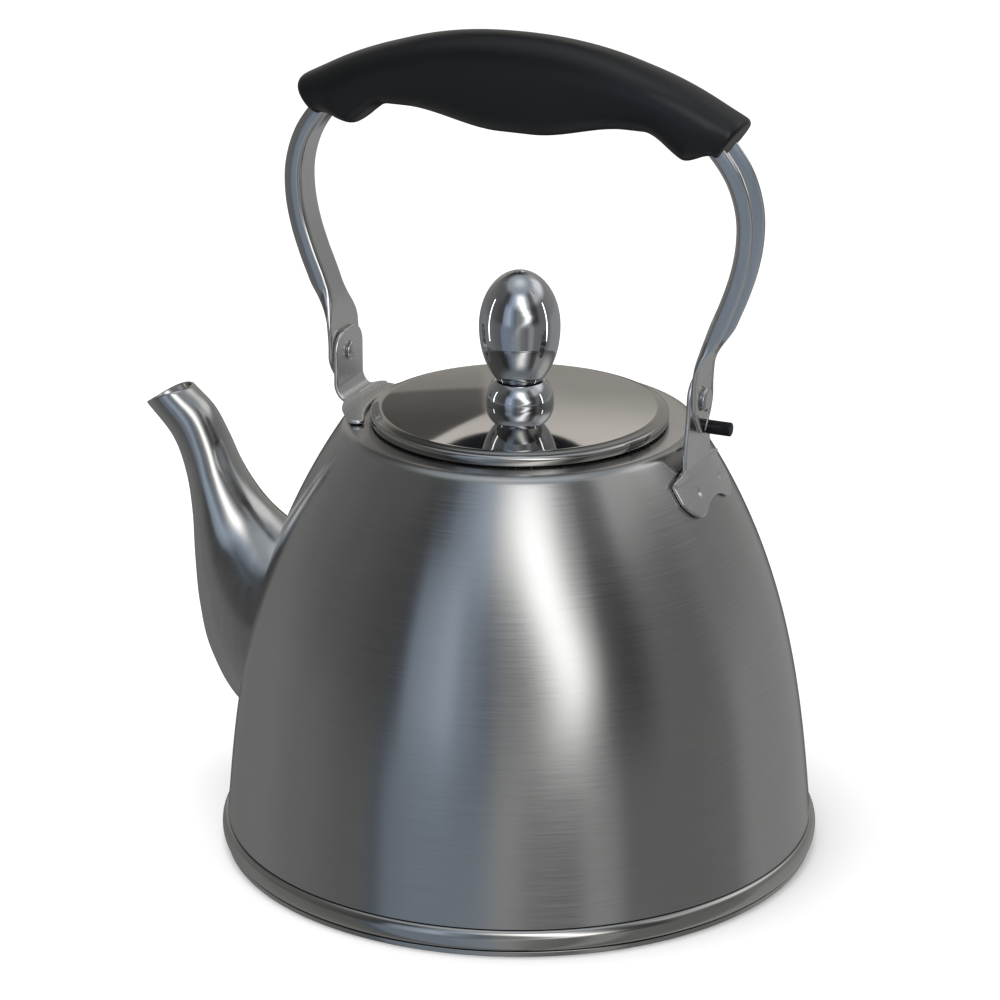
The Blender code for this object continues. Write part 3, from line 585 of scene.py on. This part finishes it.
def bell_outline():
    """(radius, height) from the foot up the wall, over the fold, in along the deck and down the neck."""
    z = np.linspace(FOOT_Z, FOLD_Z, 110)
    wall = np.stack([wall_radius(z), z], axis=1)
    lean = math.atan2(1, wall_slope(FOLD_Z))
    turn = np.linspace(lean, 0, 14)[1:]
    middle = wall[-1] - FOLD_RADIUS * np.array((math.sin(lean), math.cos(lean)))
    bend = middle + FOLD_RADIUS * np.stack([np.sin(turn), np.cos(turn)], axis=1)
    deck_z = bend[-1, 1]
    deck = np.linspace(bend[-1, 0] - 0.3 * MM, NECK_RADIUS + NECK_FOLD, 10)
    dip = np.linspace(0, math.pi / 2, 9)[1:]
    fall = 1 - np.stack([np.sin(dip), np.cos(dip)], axis=1)
    lip = np.array((NECK_RADIUS, deck_z)) + NECK_FOLD * fall * np.array((1, -1))
    neck = np.stack([np.full(5, NECK_RADIUS), np.linspace(deck_z - 2 * MM, deck_z - 7 * MM, 5)], axis=1)
    return np.concatenate([wall, bend, np.stack([deck, np.full(10, deck_z)], axis=1), lip, neck])


def moved_in(line, distance):
    """The line moved sideways, against its outward normal (dz, -dr) turned to point off the wall."""
    travel = np.gradient(line, axis=0)
    normal = np.stack([travel[:, 1], -travel[:, 0]], axis=1)
    return line - distance * normal / np.linalg.norm(normal, axis=1, keepdims=True)


outer = bell_outline()
DECK_Z = outer[:, 1].max()
bell = surface(
    "bell",
    turned(np.vstack([outer, moved_in(outer, SHEET)[::-1]])),
    brushed_steel,
    "kettle_body",
    ["body_shell"],
)

# %% [markdown]
# Seventeen straining holes are punched through the wall behind the spout. They keep tea leaves or
# scale back. A Boolean with a bundle of short rods cuts them.

# %% Straining holes
def drill(piece, start, end, radius, count=24):
    """Cuts round holes through a piece, one from each start to its end, and keeps its finish."""
    rods = bmesh.new()
    for first, last in zip(start, end):
        first, last = Vector(first), Vector(last)
        place = (last - first).to_track_quat("Z", "Y").to_matrix().to_4x4()
        place.translation = (first + last) / 2
        length = (last - first).length
        bmesh.ops.create_cone(
            rods, cap_ends=True, segments=count, radius1=radius, radius2=radius, depth=length, matrix=place
        )
    mesh = bpy.data.meshes.new("drill")
    rods.to_mesh(mesh)
    rods.free()
    tool = bpy.data.objects.new("drill", mesh)
    bpy.context.scene.collection.objects.link(tool)
    modifier = piece.modifiers.new("drill", "BOOLEAN")
    modifier.operation = "DIFFERENCE"
    modifier.solver = "MANIFOLD"
    modifier.object = tool
    bpy.context.view_layer.update()
    graph = bpy.context.evaluated_depsgraph_get()
    result = bpy.data.meshes.new_from_object(piece.evaluated_get(graph))
    piece.modifiers.clear()
    piece.data = result
    result.set_sharp_from_angle(angle=math.radians(38))
    bpy.data.objects.remove(tool)
    print(f"{piece.name}: drilled {len(start)}, now {len(result.polygons)} faces")


PITCH = 11 * MM
spots = [
    ((column - (count - 1) / 2) * PITCH, 62 * MM + row * PITCH * math.sin(math.radians(60)))
    for row, count in ((-2, 3), (-1, 4), (0, 3), (1, 4), (2, 3))
    for column in range(count)
]
drill(bell, [(-115 * MM, y, z) for y, z in spots], [(-75 * MM, y, z) for y, z in spots], 3.2 * MM)

# %% [markdown]
# ## The base
# The wall's hem is rolled into a bead that hides the joint. Below it is the capsule: an aluminium
# disc that spreads the heat, shut in by a thin steel cap. From the side only the bead and the edge
# of the cap show.

# %% Bead, cap and what they hide
bead_low, bead_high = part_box("base_bead")
bead_z, bead_half = (bead_low.z + bead_high.z) / 2, (bead_high.z - bead_low.z) / 2
angle = np.linspace(0, math.tau, 40, endpoint=False)
bead = np.stack([bead_high.x - 2 * MM + 2 * MM * np.cos(angle), bead_z + bead_half * np.sin(angle)], axis=1)
surface("rolled_bead", turned(bead, 320), polished_steel, "kettle_body", ["base_bead"])
cap = softened(
    [(0, 0, 0), (103.4, 0, 0.5), (103.4, 1.8, 0.2), (97.3, 1.8, 0.2), (97.3, 0.8, 0.2), (0, 0.8, 0)], 5
)
surface("bottom_cap", turned(cap), polished_steel, "kettle_body", ["base_cap"])
for node, finish in (("base_floor", polished_steel), ("heat_spreader", spreader)):
    frame["nodes"][node].material_slots[0].material = finish

# %% [markdown]
# ## The spout
# Two pressed half shells are welded and ground into one tapered tube. Each section is an oval
# between a point on its lower edge and one on its upper edge. The lengthwise lines are carried into
# the bell, and each is then read again only from where it leaves the wall, so that the root fits
# the bell all round with no gap.

# %% Spout
SPOUT_SECTIONS = (
    ((-80.0, 22.0), (-76.0, 96.0), 31.0),
    ((-104.0, 32.0), (-86.0, 98.0), 28.0),
    ((-117.0, 49.0), (-93.5, 102.5), 23.5),
    ((-122.5, 66.0), (-100.0, 108.0), 19.0),
    ((-124.8, 84.0), (-105.5, 114.5), 15.5),
    ((-126.0, 101.0), (-110.5, 122.5), 12.5),
    ((-128.6, 116.0), (-114.8, 132.0), 10.5),
    ((-134.0, 129.0), (-120.0, 141.0), 9.3),
    ((-144.5, 140.3), (-127.8, 147.6), 8.9),
)


def spout_skin(inset, rows, columns):
    """Ovals from root to mouth: middle + reach cos(angle) + width sin(angle), cut off at the wall."""
    fine = 600
    lower, upper = (curve_through([s[k] for s in SPOUT_SECTIONS], fine) * MM for k in (0, 1))
    width = curve_through([(s[2], 0) for s in SPOUT_SECTIONS], fine)[:, :1] * MM - inset
    middle, reach = (lower + upper) / 2, (lower - upper) / 2
    size = np.linalg.norm(reach, axis=1, keepdims=True)
    reach = reach * (size - inset) / size
    angle = np.linspace(0, math.tau, columns, endpoint=False)
    c, s = np.cos(angle), np.sin(angle)
    arch = np.linspace(0, 1, fine)[:, None] ** 8 * 1.2 * MM
    skin = np.stack(
        [middle[:, :1] + reach[:, :1] * c, width * s, middle[:, 1:] + reach[:, 1:] * c + arch * s**2], axis=2
    )
    outside = np.hypot(skin[..., 0], skin[..., 1]) - wall_radius(skin[..., 2])
    root = fine - 1 - np.argmax(outside[::-1] < 0, axis=0)
    steps = root + np.linspace(0, 1, rows)[:, None] * (fine - 1 - root)
    low = np.minimum(steps.astype(int), fine - 2)
    share = (steps - low)[..., None]
    across = np.arange(columns)[None]
    return skin[low, across] * (1 - share) + skin[low + 1, across] * share


outside, inside = spout_skin(0, 130, 96), spout_skin(1 * MM, 130, 96)
lip = (outside[-1:] + inside[-1:]) / 2 + np.array((-0.25, 0, 0.35)) * MM
surface(
    "pouring_spout",
    np.concatenate([outside, lip, inside[::-1]]),
    ground_steel,
    "kettle_body",
    ["spout"],
)

# %% [markdown]
# ## The whistle
# A short cup pushes into the neck of the spout. Two thin plates with a small hole stand a
# millimetre or two apart inside it, and steam that rushes through both holes makes the note.

# %% Whistle
whistle_top = Vector((-132.5 * MM, 0, 140.6 * MM))
whistle_axis = Vector((-0.72, 0, 0.69))
whistle_place = whistle_axis.to_track_quat("Z", "Y").to_matrix().to_4x4()
whistle_place.translation = whistle_top
whistle_parts = {
    "whistle_cup": (
        (6.9, 0, 0.3), (6.9, -7.5, 0.4), (4.8, -7.5, 0),
        (4.8, -6.5, 0), (6.0, -6.5, 0), (6.0, 0, 0.3),
    ),
    "whistle_front_plate": (
        (1.6, -1.6, 0.1), (1.6, -2.4, 0.1), (4.9, -2.4, 0.3),
        (4.9, -5.1, 0.1), (5.7, -5.1, 0.1), (5.7, -1.6, 0.5),
    ),
    "whistle_rear_plate": ((1.6, -6.2, 0.1), (5.7, -6.2, 0.1), (5.7, -5.4, 0.1), (1.6, -5.4, 0.1)),
}
for node, corners in whistle_parts.items():
    grid = turned(softened(corners), 96, whistle_place)
    surface(node.replace("whistle", "steam_whistle"), grid, satin_steel, "whistle", [node])

# %% [markdown]
# ## The lid
# The lid is a pressed disc, domed by about two millimetres, with its edge rolled down. A ring below
# it drops into the neck and keeps it central. It is buffed on a wheel until it mirrors, so its
# slight dome decides what it shows: its height falls with the square of the radius.

# %% Lid
lid_low, lid_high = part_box("lid_cover")
LID_R = lid_high.x / MM
TOP_Z, EDGE_Z = lid_high.z / MM, 157.2
DOME, BAND, ROLL, LID_SHEET, BORE = 1.7, 2.6, 1.3, 1.1, 2.3
FLAT_R = LID_R - ROLL


def lid_top(radius):
    """Height of the lid's top in mm: a parabola, less a steeper curve over the outer band."""
    past = np.clip((radius - (FLAT_R - BAND)) / BAND, 0, 1)
    return TOP_Z - DOME * (radius / FLAT_R) ** 2 - (TOP_Z - EDGE_Z - DOME) * past**1.5


radii = np.linspace(BORE, FLAT_R, 60)
roll = np.linspace(0, math.pi / 2, 10)[1:]
rim = np.stack([FLAT_R + ROLL * np.sin(roll), EDGE_Z - ROLL + ROLL * np.cos(roll)], axis=1)
lip_z = lid_low.z / MM
tuck = [(LID_R, lip_z + 0.7), (LID_R - 0.2, lip_z + 0.2), (LID_R - 0.8, lip_z), (LID_R - 1.6, lip_z + 0.1)]
tuck += [(LID_R - 2, lip_z + 0.5), (LID_R - 2, EDGE_Z - 1.6)]
under = np.stack([radii, lid_top(radii) - LID_SHEET], axis=1)[:-1][::-1]
lid = np.vstack([np.stack([radii, lid_top(radii)], axis=1), rim, tuck, under]) * MM
surface("lid", turned(lid, 320), mirror_steel, "lid", ["lid_cover"])
skirt_low, skirt_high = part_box("lid_skirt")
RING_R, LOW, HIGH, RING_SHEET = skirt_high.x / MM, skirt_low.z / MM, skirt_high.z / MM, 1
ring_in, flange_in = RING_R - RING_SHEET, RING_R - 8
skirt = [(RING_R, HIGH, 0.4), (RING_R, LOW, 0.4), (ring_in, LOW, 0.3), (ring_in, HIGH - RING_SHEET, 0.3)]
skirt += [(flange_in, HIGH - RING_SHEET, 0), (flange_in, HIGH, 0)]
surface("lid_seating_ring", turned(softened(skirt)), satin_steel, "lid", ["lid_skirt"])

# %% [markdown]
# ## The knob
# A hollow egg, chrome plated, stands on a squashed ball of the same finish. Both are turned
# shapes: ellipses whose half heights differ above and below the widest point.

# %% Knob
knob_low, knob_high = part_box("knob")
KNOB_R, TOP, FOOT, WIDEST, BELOW = 13.9, knob_high.z / MM, knob_low.z / MM, 186.8, 23.0
angle = np.linspace(-math.asin((WIDEST - FOOT) / BELOW), math.pi / 2, 110)
half = np.where(angle < 0, BELOW, TOP - WIDEST)
egg = np.stack([KNOB_R * np.cos(angle), WIDEST + half * np.sin(angle)], axis=1)
egg[-1, 0] = 0
BORE_TOP = 179.3
bore = [(0, BORE_TOP), (BORE, BORE_TOP), (BORE, FOOT), (egg[0, 0] - 0.5, FOOT)]
egg = np.vstack([bore, egg]) * MM
egg_knob = surface("egg_knob", turned(egg, 192), chrome, "lid", ["knob"], close="merged")
BALL_R, BALL_WIDEST, BALL_HALF = 11.8, 160.4, 10.6
collar_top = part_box("knob_collar")[1].z / MM
seat = lid_top(BALL_R) + 0.03
z = np.linspace(seat, collar_top, 40)
ball = np.stack([BALL_R * np.sqrt(1 - ((z - BALL_WIDEST) / BALL_HALF) ** 2), z], axis=1)
ball = np.vstack([[(BORE, seat)], ball, [(BORE, collar_top)]]) * MM
foot_ball = surface("knob_foot_ball", turned(ball, 192), chrome, "lid", ["knob_collar"])
for node in ("knob_screw", "knob_washer"):
    frame["nodes"][node].material_slots[0].material = satin_steel

# %% [markdown]
# Two slim lamps stand at the knob's sides and draw the thin white arc just inside each edge.
# They light only the knob and its ball, so the bell keeps its calm tones.

# %% Knob lamps
LAMP_AWAY, LAMP_WIDE, LAMP_TALL = 0.6, 0.035, 0.5
knob_only = bpy.data.collections.new("knob only")
for piece in (egg_knob, foot_ball):
    knob_only.objects.link(piece)
knob_middle = Vector((0, 0, 187 * MM))
for side, degrees, power in (("left", -95, 0.22), ("right", 82, 0.22)):
    turn = math.radians(degrees)
    lamp = bpy.data.lights.new(side + " knob lamp", "AREA")
    lamp.shape = "RECTANGLE"
    lamp.size, lamp.size_y = LAMP_WIDE, LAMP_TALL
    lamp.energy = power
    stand = bpy.data.objects.new(side + " knob lamp", lamp)
    way = Vector(to_right * math.sin(turn) + to_camera * math.cos(turn))
    stand.location = way * LAMP_AWAY + knob_middle
    stand.rotation_euler = (knob_middle - stand.location).to_track_quat("-Z", "Y").to_euler()
    stand.visible_camera = False
    stand.light_linking.receiver_collection = knob_only
    bpy.context.scene.collection.objects.link(stand)
    print(stand.name, "at", [round(c, 2) for c in stand.location])

# %% [markdown]
# ## The brackets
# Each bracket is a pressed steel strap, spot welded to the bell. A strap is a flat ribbon carried
# along a path: its section is a thin rectangle with rounded edges, and its half width changes along
# the way. The front one turns in at the foot and lies on the deck. The rear one lies down the
# outside of the bell with a fishtail. The spot welds leave small round dents.

# %% Ribbon section
def ribbon(half_width, thickness, columns=90, edge=6):
    """(across, up) of a ribbon's closed section for each row: flat faces joined by round edges.

    The upper face runs from -half width to +half width, then a half circle goes round each edge.
    """
    flat = np.linspace(-1, 1, columns)
    bend = np.linspace(math.pi / 2, -math.pi / 2, edge + 2)[1:-1]
    r = thickness[:, None] / 2
    straight = half_width[:, None] - r
    face, edge = straight * flat, straight + r * np.cos(bend)
    over = [face, edge, -face, -edge[:, ::-1]]
    up = [r + 0 * face, r * np.sin(bend), -r + 0 * face, r * np.sin(bend[::-1])]
    return np.concatenate(over, axis=1), np.concatenate(up, axis=1)


def round_end(distance, thickness):
    """Thickness of a sheet whose end is a half circle, at a distance from that end."""
    return thickness * np.sqrt(1 - (1 - np.clip(2 * distance / thickness, 0, 1)) ** 2)


def dent(x, z, spots, radius, depth):
    """How far a face is pushed in near each spot: depth times a bell curve of the distance."""
    away = np.stack([(x - a) ** 2 + (z - b) ** 2 for a, b in spots])
    return depth * np.exp(-away / radius**2).sum(0)


def eased(count, power):
    """0 to 1 in count steps that start small and grow."""
    return np.linspace(0, 1, count) ** power


print("ribbon points round a section:", ribbon(np.array([10.0]), np.array([1.5]))[0].shape[1])

# %% Front bracket
STRAP_X, STRAP_SHEET, CORNER = 64.4, 1.5, 7.5
PIVOT_Z = frame["joints"][0]["pos_m"][2] / MM
STRAP_TOP = PIVOT_Z + 8.2
deck = DECK_Z / MM + 0.3 + STRAP_SHEET / 2


def strap_half(down, half_width):
    """Half width of a strap at a distance down from its top, which has two round corners."""
    past = np.clip(1 - down / CORNER, 0, 1)
    return half_width - CORNER * (1 - np.sqrt(np.maximum(1 - past**2, 0.01)))


bends = [(STRAP_X + 0.75, STRAP_TOP), (STRAP_X + 0.75, 170), (STRAP_X + 0.75, 162), (STRAP_X + 0.6, 158.6)]
bends += [(63.6, 155.9), (61.4, deck + 0.25), (58.6, deck), (55.9, deck), (53.2, deck)]
path = curve_through(bends, 2000)
span = np.concatenate([[0], np.cumsum(np.linalg.norm(np.diff(path, axis=0), axis=1))])
foot_start = span[np.argmax(path[:, 0] < 62.6)]
stations = np.concatenate(
    [foot_start * eased(70, 1.7), foot_start + (span[-1] - foot_start) * (1 - eased(80, 1.7)[:-1][::-1])]
)
path = np.stack([np.interp(stations, span, path[:, k]) for k in (0, 1)], axis=1)
share = np.clip((stations - foot_start) / (span[-1] - foot_start), 0, 1)
left = stations[-1] - stations
half = strap_half(stations, 10.4)
flare = smoothstep(0.05, 0.5, share)
half = half + 20.5 * flare - 4.5 * (1 - np.sqrt(1 - np.clip(1 - left / 4.5, 0, 0.999) ** 2))
thick = np.minimum(round_end(stations, STRAP_SHEET), round_end(left, STRAP_SHEET))
over, up = ribbon(half, thick, 160)
travel = np.gradient(path, axis=0)
travel /= np.linalg.norm(travel, axis=1, keepdims=True)
over = np.where(over > 0, over * (1 - 0.56 * flare[:, None]), over)
pits = dent(over, path[:, :1] + 0 * over, [(-20, 57.0)], 1.2, 0.5) * (up > 0) * (share[:, None] > 0.2)
normal = np.stack([-travel[:, 1], travel[:, 0]], axis=1)
radius = path[:, :1] + normal[:, :1] * (up - pits)
height = path[:, 1:] + normal[:, 1:] * (up - pits)
curl = smoothstep(0.0, 0.35, share[:, None])
around = over / radius * curl
x = -(radius * np.cos(around))
y = radius * np.sin(around) + over * (1 - curl)
front_bracket = surface(
    "front_strap",
    np.stack([x, y, height], axis=2) * MM,
    satin_steel,
    "kettle_body",
    ["front_bracket"],
    close="merged",
)

# %% Rear bracket
CREASE_Z = 147.2
PLATE_HALF = 19.5


def plate_depth(across):
    """How far the foot plate reaches down at each share of its half width: two round lobes."""
    lobes = 11.2 + 3.6 * np.exp(-(((across - 0.62) / 0.3) ** 2))
    corner = np.clip((across - 0.78) / 0.22, 0, 1)
    return lobes - 4.5 * (1 - np.sqrt(1 - corner**2))


down = (STRAP_TOP - CREASE_Z) * eased(80, 1.7)
fall = np.sin(np.linspace(0, math.pi / 2, 110))[1:]
in_plate = np.concatenate([np.zeros(80), fall])
half = strap_half(down, 8.6) + 2.6 * smoothstep(8, 28, down)
shoulder = 1 - np.sqrt(1 - np.clip(1 - fall / 0.3, 0, 1) ** 2)
half = np.concatenate([half, PLATE_HALF - (PLATE_HALF - 11.2) * shoulder])
thick = np.concatenate([round_end(down, STRAP_SHEET), round_end((1 - fall) * 12, STRAP_SHEET)])
over, up = ribbon(half, thick, 150)
depth = plate_depth(np.abs(over) / np.maximum(half, 1)[:, None]) * in_plate[:, None]
height = np.concatenate([STRAP_TOP - down, np.full(109, CREASE_Z)])[:, None] - depth
laid = smoothstep(0, 2.2, depth)
tilt = np.arctan(wall_slope(height * MM)) * laid
wall = wall_radius(height * MM) / MM + 0.4 + STRAP_SHEET / 2
bent = wall + (np.sqrt(np.maximum(wall**2 - over**2, 0)) - wall) * smoothstep(0, 4, depth)
upright = STRAP_X + STRAP_SHEET / 2
middle = np.where(in_plate[:, None] > 0, np.maximum(bent, upright - 4 * smoothstep(0, 4, depth)), upright)
pits = dent(over, height, [(-9.3, 139.6), (9.3, 139.6)], 1.1, 0.5) * (up > 0)
facing = np.sqrt(np.maximum(1 - (over / wall) ** 2, 0)) * laid + 1 - laid
x = middle + (up - pits) * np.cos(tilt) * facing
y = over * (1 + (up - pits) / wall * laid)
rear_bracket = surface(
    "rear_strap",
    np.stack([x, y, height + (up - pits) * np.sin(tilt)], axis=2) * MM,
    satin_steel,
    "kettle_body",
    ["rear_bracket"],
    close="merged",
)

# %% [markdown]
# The rivets turn in round holes, and the peg's thin end goes through a smaller one beside them.

# %% Holes in the brackets
def across_strap(side, y, z):
    """Start and end of a drill that goes through whatever stands at the straps on one side."""
    return (side * (STRAP_X - 3) * MM, y, z), (side * (STRAP_X + 6) * MM, y, z)


RIVET_HOLE, PEG_HOLE = 2.9 * MM, 1.6 * MM
peg_low, peg_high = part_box("stop_peg")
peg_y, peg_z = (peg_low.y + peg_high.y) / 2, (peg_low.z + peg_high.z) / 2
for piece, side in ((front_bracket, -1), (rear_bracket, 1)):
    start, end = across_strap(side, 0, PIVOT_Z * MM)
    drill(piece, [start], [end], RIVET_HOLE)
start, end = across_strap(1, peg_y, peg_z)
drill(rear_bracket, [start], [end], PEG_HOLE)

# %% [markdown]
# ## Rivets and peg
# A rivet is a domed head, a shank and a smaller head formed on the inside. The black peg stops
# the tail of the rear arm, which keeps the handle upright.

# %% Rivets and peg
GAP, ARM_SHEET, SHANK, HEAD, TAIL = 0.3, 1.4, 2.6, 4.1, 3.3
outside_x = STRAP_X + STRAP_SHEET + GAP + ARM_SHEET + GAP
inside_x = STRAP_X - GAP
top, bottom = outside_x + 1.7, inside_x - 1.3
rivet = [(0, top, 0), (3.0, top - 0.1, 0.6), (HEAD, top - 0.8, 0.4), (HEAD, outside_x + 0.7, 0.15)]
rivet += [(3.5, outside_x, 0.1), (SHANK, outside_x, 0), (SHANK, inside_x, 0), (2.8, inside_x, 0.1)]
rivet += [(TAIL, inside_x - 0.5, 0.15), (TAIL, bottom + 0.6, 0.3), (2.2, bottom + 0.1, 0.5), (0, bottom, 0)]
for side, name in ((-1, "front"), (1, "rear")):
    place = Vector((side, 0, 0)).to_track_quat("Z", "Y").to_matrix().to_4x4()
    place.translation = (0, 0, PIVOT_Z * MM)
    surface(
        name + "_handle_rivet",
        turned(softened(rivet), 64, place)[1:-1],
        satin_steel,
        "kettle_body",
        [name + "_rivet"],
        close="middle",
    )
place = Vector((1, 0, 0)).to_track_quat("Z", "Y").to_matrix().to_4x4()
place.translation = (0, peg_y, peg_z)
end, seat, tail = peg_high.x / MM, STRAP_X + STRAP_SHEET + GAP, inside_x - 0.8
peg = [(0, end, 0), (2.4, end, 0.5), (2.4, seat, 0.2), (1.3, seat, 0), (1.3, inside_x, 0)]
peg += [(2.1, inside_x, 0.3), (2.1, tail, 0.4), (0, tail, 0)]
grid = turned(softened(peg), 64, place)
surface("handle_stop_peg", grid, peg_black, "kettle_body", ["stop_peg"])

# %% [markdown]
# ## The arms
# Each arm is a strip pressed into a channel, so that thin steel is stiff enough to carry three
# litres. Its web faces the kettle and its flanges point out. Towards the rivet the flanges fade
# until only a flat tab is left. The section is carried along the middle line of the web.

# %% Arms
ARM_LINE = (
    (66.9, 158.2), (66.9, 166.0), (66.9, 176.0), (68.1, 186.0), (71.2, 196.0), (75.2, 206.0), (78.4, 216.0),
    (80.1, 226.0), (79.8, 236.0), (76.6, 246.0), (70.6, 254.6), (63.0, 261.5), (54.0, 267.0),
)


def channel(half, depth, sheet=ARM_SHEET, bend=7):
    """(across, out) points round a channel section: web inner face, bends, flanges, and back inside."""
    corner = np.minimum(2.2, depth * 0.6)[:, None]
    inner = np.maximum(corner - sheet, 0.15)
    turn = np.linspace(math.pi / 2, 0, bend)
    half, depth = half[:, None], depth[:, None]
    web = np.linspace(0, 1, 9)[:-1]
    tip = np.linspace(0, math.pi, 5)
    outer_across = np.concatenate([web * (half - corner), half - corner + corner * np.cos(turn)], axis=1)
    outer_out = np.concatenate([0 * web * half, corner - corner * np.sin(turn)], axis=1)
    tip_across = half - sheet / 2 + sheet / 2 * np.cos(tip)
    tip_out = np.maximum(depth - sheet / 2, corner) + sheet / 2 * np.sin(tip)
    inner_across = half - sheet - inner + inner * np.cos(turn[::-1])
    inner_out = np.minimum(sheet + inner - inner * np.sin(turn[::-1]), np.maximum(depth - sheet / 2, corner))
    back = web[::-1] * (half - sheet - inner)
    across = np.concatenate([outer_across, tip_across, inner_across, back], axis=1)
    out = np.concatenate([outer_out, tip_out, inner_out, 0 * back + sheet], axis=1)
    return np.concatenate([across, -across[:, ::-1]], axis=1), np.concatenate([out, out[:, ::-1]], axis=1)


FLANGE, CHANNEL_HALF = 4.8, 6.5


def arm_grid(tab_half, side, rows=200):
    """The channel carried up the arm's line, with its flanges fading out below the bend."""
    line = curve_through(ARM_LINE, rows)
    travel = np.gradient(line, axis=0)
    travel /= np.linalg.norm(travel, axis=1, keepdims=True)
    z = line[:, 1]
    tab_end = PIVOT_Z + 9
    depth = ARM_SHEET + FLANGE * smoothstep(tab_end, tab_end + 19, z)
    half = tab_half + (CHANNEL_HALF - tab_half) * smoothstep(tab_end, tab_end + 15, z)
    below = np.clip((PIVOT_Z - z) / (PIVOT_Z - ARM_LINE[0][1]), 0, 1)
    half = half - (half - 2.4) * below**1.6
    across, out = channel(half, depth)
    out = out - ARM_SHEET / 2
    x = line[:, :1] + travel[:, 1:] * out
    height = z[:, None] - travel[:, :1] * out
    return np.stack([side * x, across, height], axis=2) * MM


arms = []
for side, name, tab in ((-1, "front", 11.0), (1, "rear", 8.9)):
    arm = surface(
        name + "_handle_arm",
        arm_grid(tab, side),
        barrelled_steel,
        "handle",
        [name + "_arm"],
        close="middle",
    )
    start, end = across_strap(side, 0, PIVOT_Z * MM)
    drill(arm, [start], [end], RIVET_HOLE)
    arms.append(arm)

# %% [markdown]
# ## The grip
# The grip is moulded phenolic with its ends turned down over the arms. Its sections are ovals a
# little squarer than an ellipse. The underside has two finger hollows with a belly between them,
# and the end sections lean so that each end face looks down its arm.

# %% Grip
GRIP_HALF_LENGTH, GRIP_HALF_WIDTH, GRIP_TOP = 75, 13, 288.4


def grip_grid(rows=220, columns=96):
    """Ovals along X: up = half |sin|^0.86, across = width |cos|^0.86, leaning more towards the ends."""
    t = np.linspace(-1, 1, rows)[:, None]
    reach = np.abs(t) * GRIP_HALF_LENGTH
    low = 254.6 + 5.4 * smoothstep(6, 40, reach) - 11 * smoothstep(47, 71, reach)
    high = GRIP_TOP - 21.0 * np.abs(t) ** 2.2
    middle, half = (low + high) / 2, (high - low) / 2
    end = smoothstep(0.86, 1.0, np.abs(t))
    half = half * (1 - 0.16 * end)
    width = GRIP_HALF_WIDTH * (1 - 0.12 * t**2) * (1 - 0.10 * end)
    lean = np.sign(t) * 0.62 * smoothstep(0.55, 1.0, np.abs(t))
    angle = np.linspace(0, math.tau, columns, endpoint=False)
    c, s = np.cos(angle), np.sin(angle)
    up = half * np.sign(s) * np.abs(s) ** 0.86
    across = width * np.sign(c) * np.abs(c) ** 0.86
    x = t * GRIP_HALF_LENGTH + np.sin(lean) * up
    return np.stack([x, across, middle + np.cos(lean) * up + 2.5 * end], axis=2) * MM


grid = grip_grid()
ends = []
for row, sign in ((grid[0], -1), (grid[-1], 1)):
    middle = row.mean(0)
    out = np.array((sign * 0.82, 0, -0.57))
    turn = np.linspace(0, math.pi / 2, 9)[1:-1, None, None]
    ends.append(middle + (row - middle) * (1 - 0.16 * (1 - np.cos(turn))) + out * 2.0 * MM * np.sin(turn))
grid = np.concatenate([ends[0][::-1], grid, ends[1]])
grip = surface("moulded_grip", grid, phenolic, "handle", ["grip"], close="middle", sharp=60)
for name in ("front_grip_screw", "rear_grip_screw"):
    frame["nodes"][name].material_slots[0].material = satin_steel
# The handle stays out of mirror images, as if shot on its own, so that the small knob stays clean
for piece in (grip, *arms):
    piece.visible_glossy = False
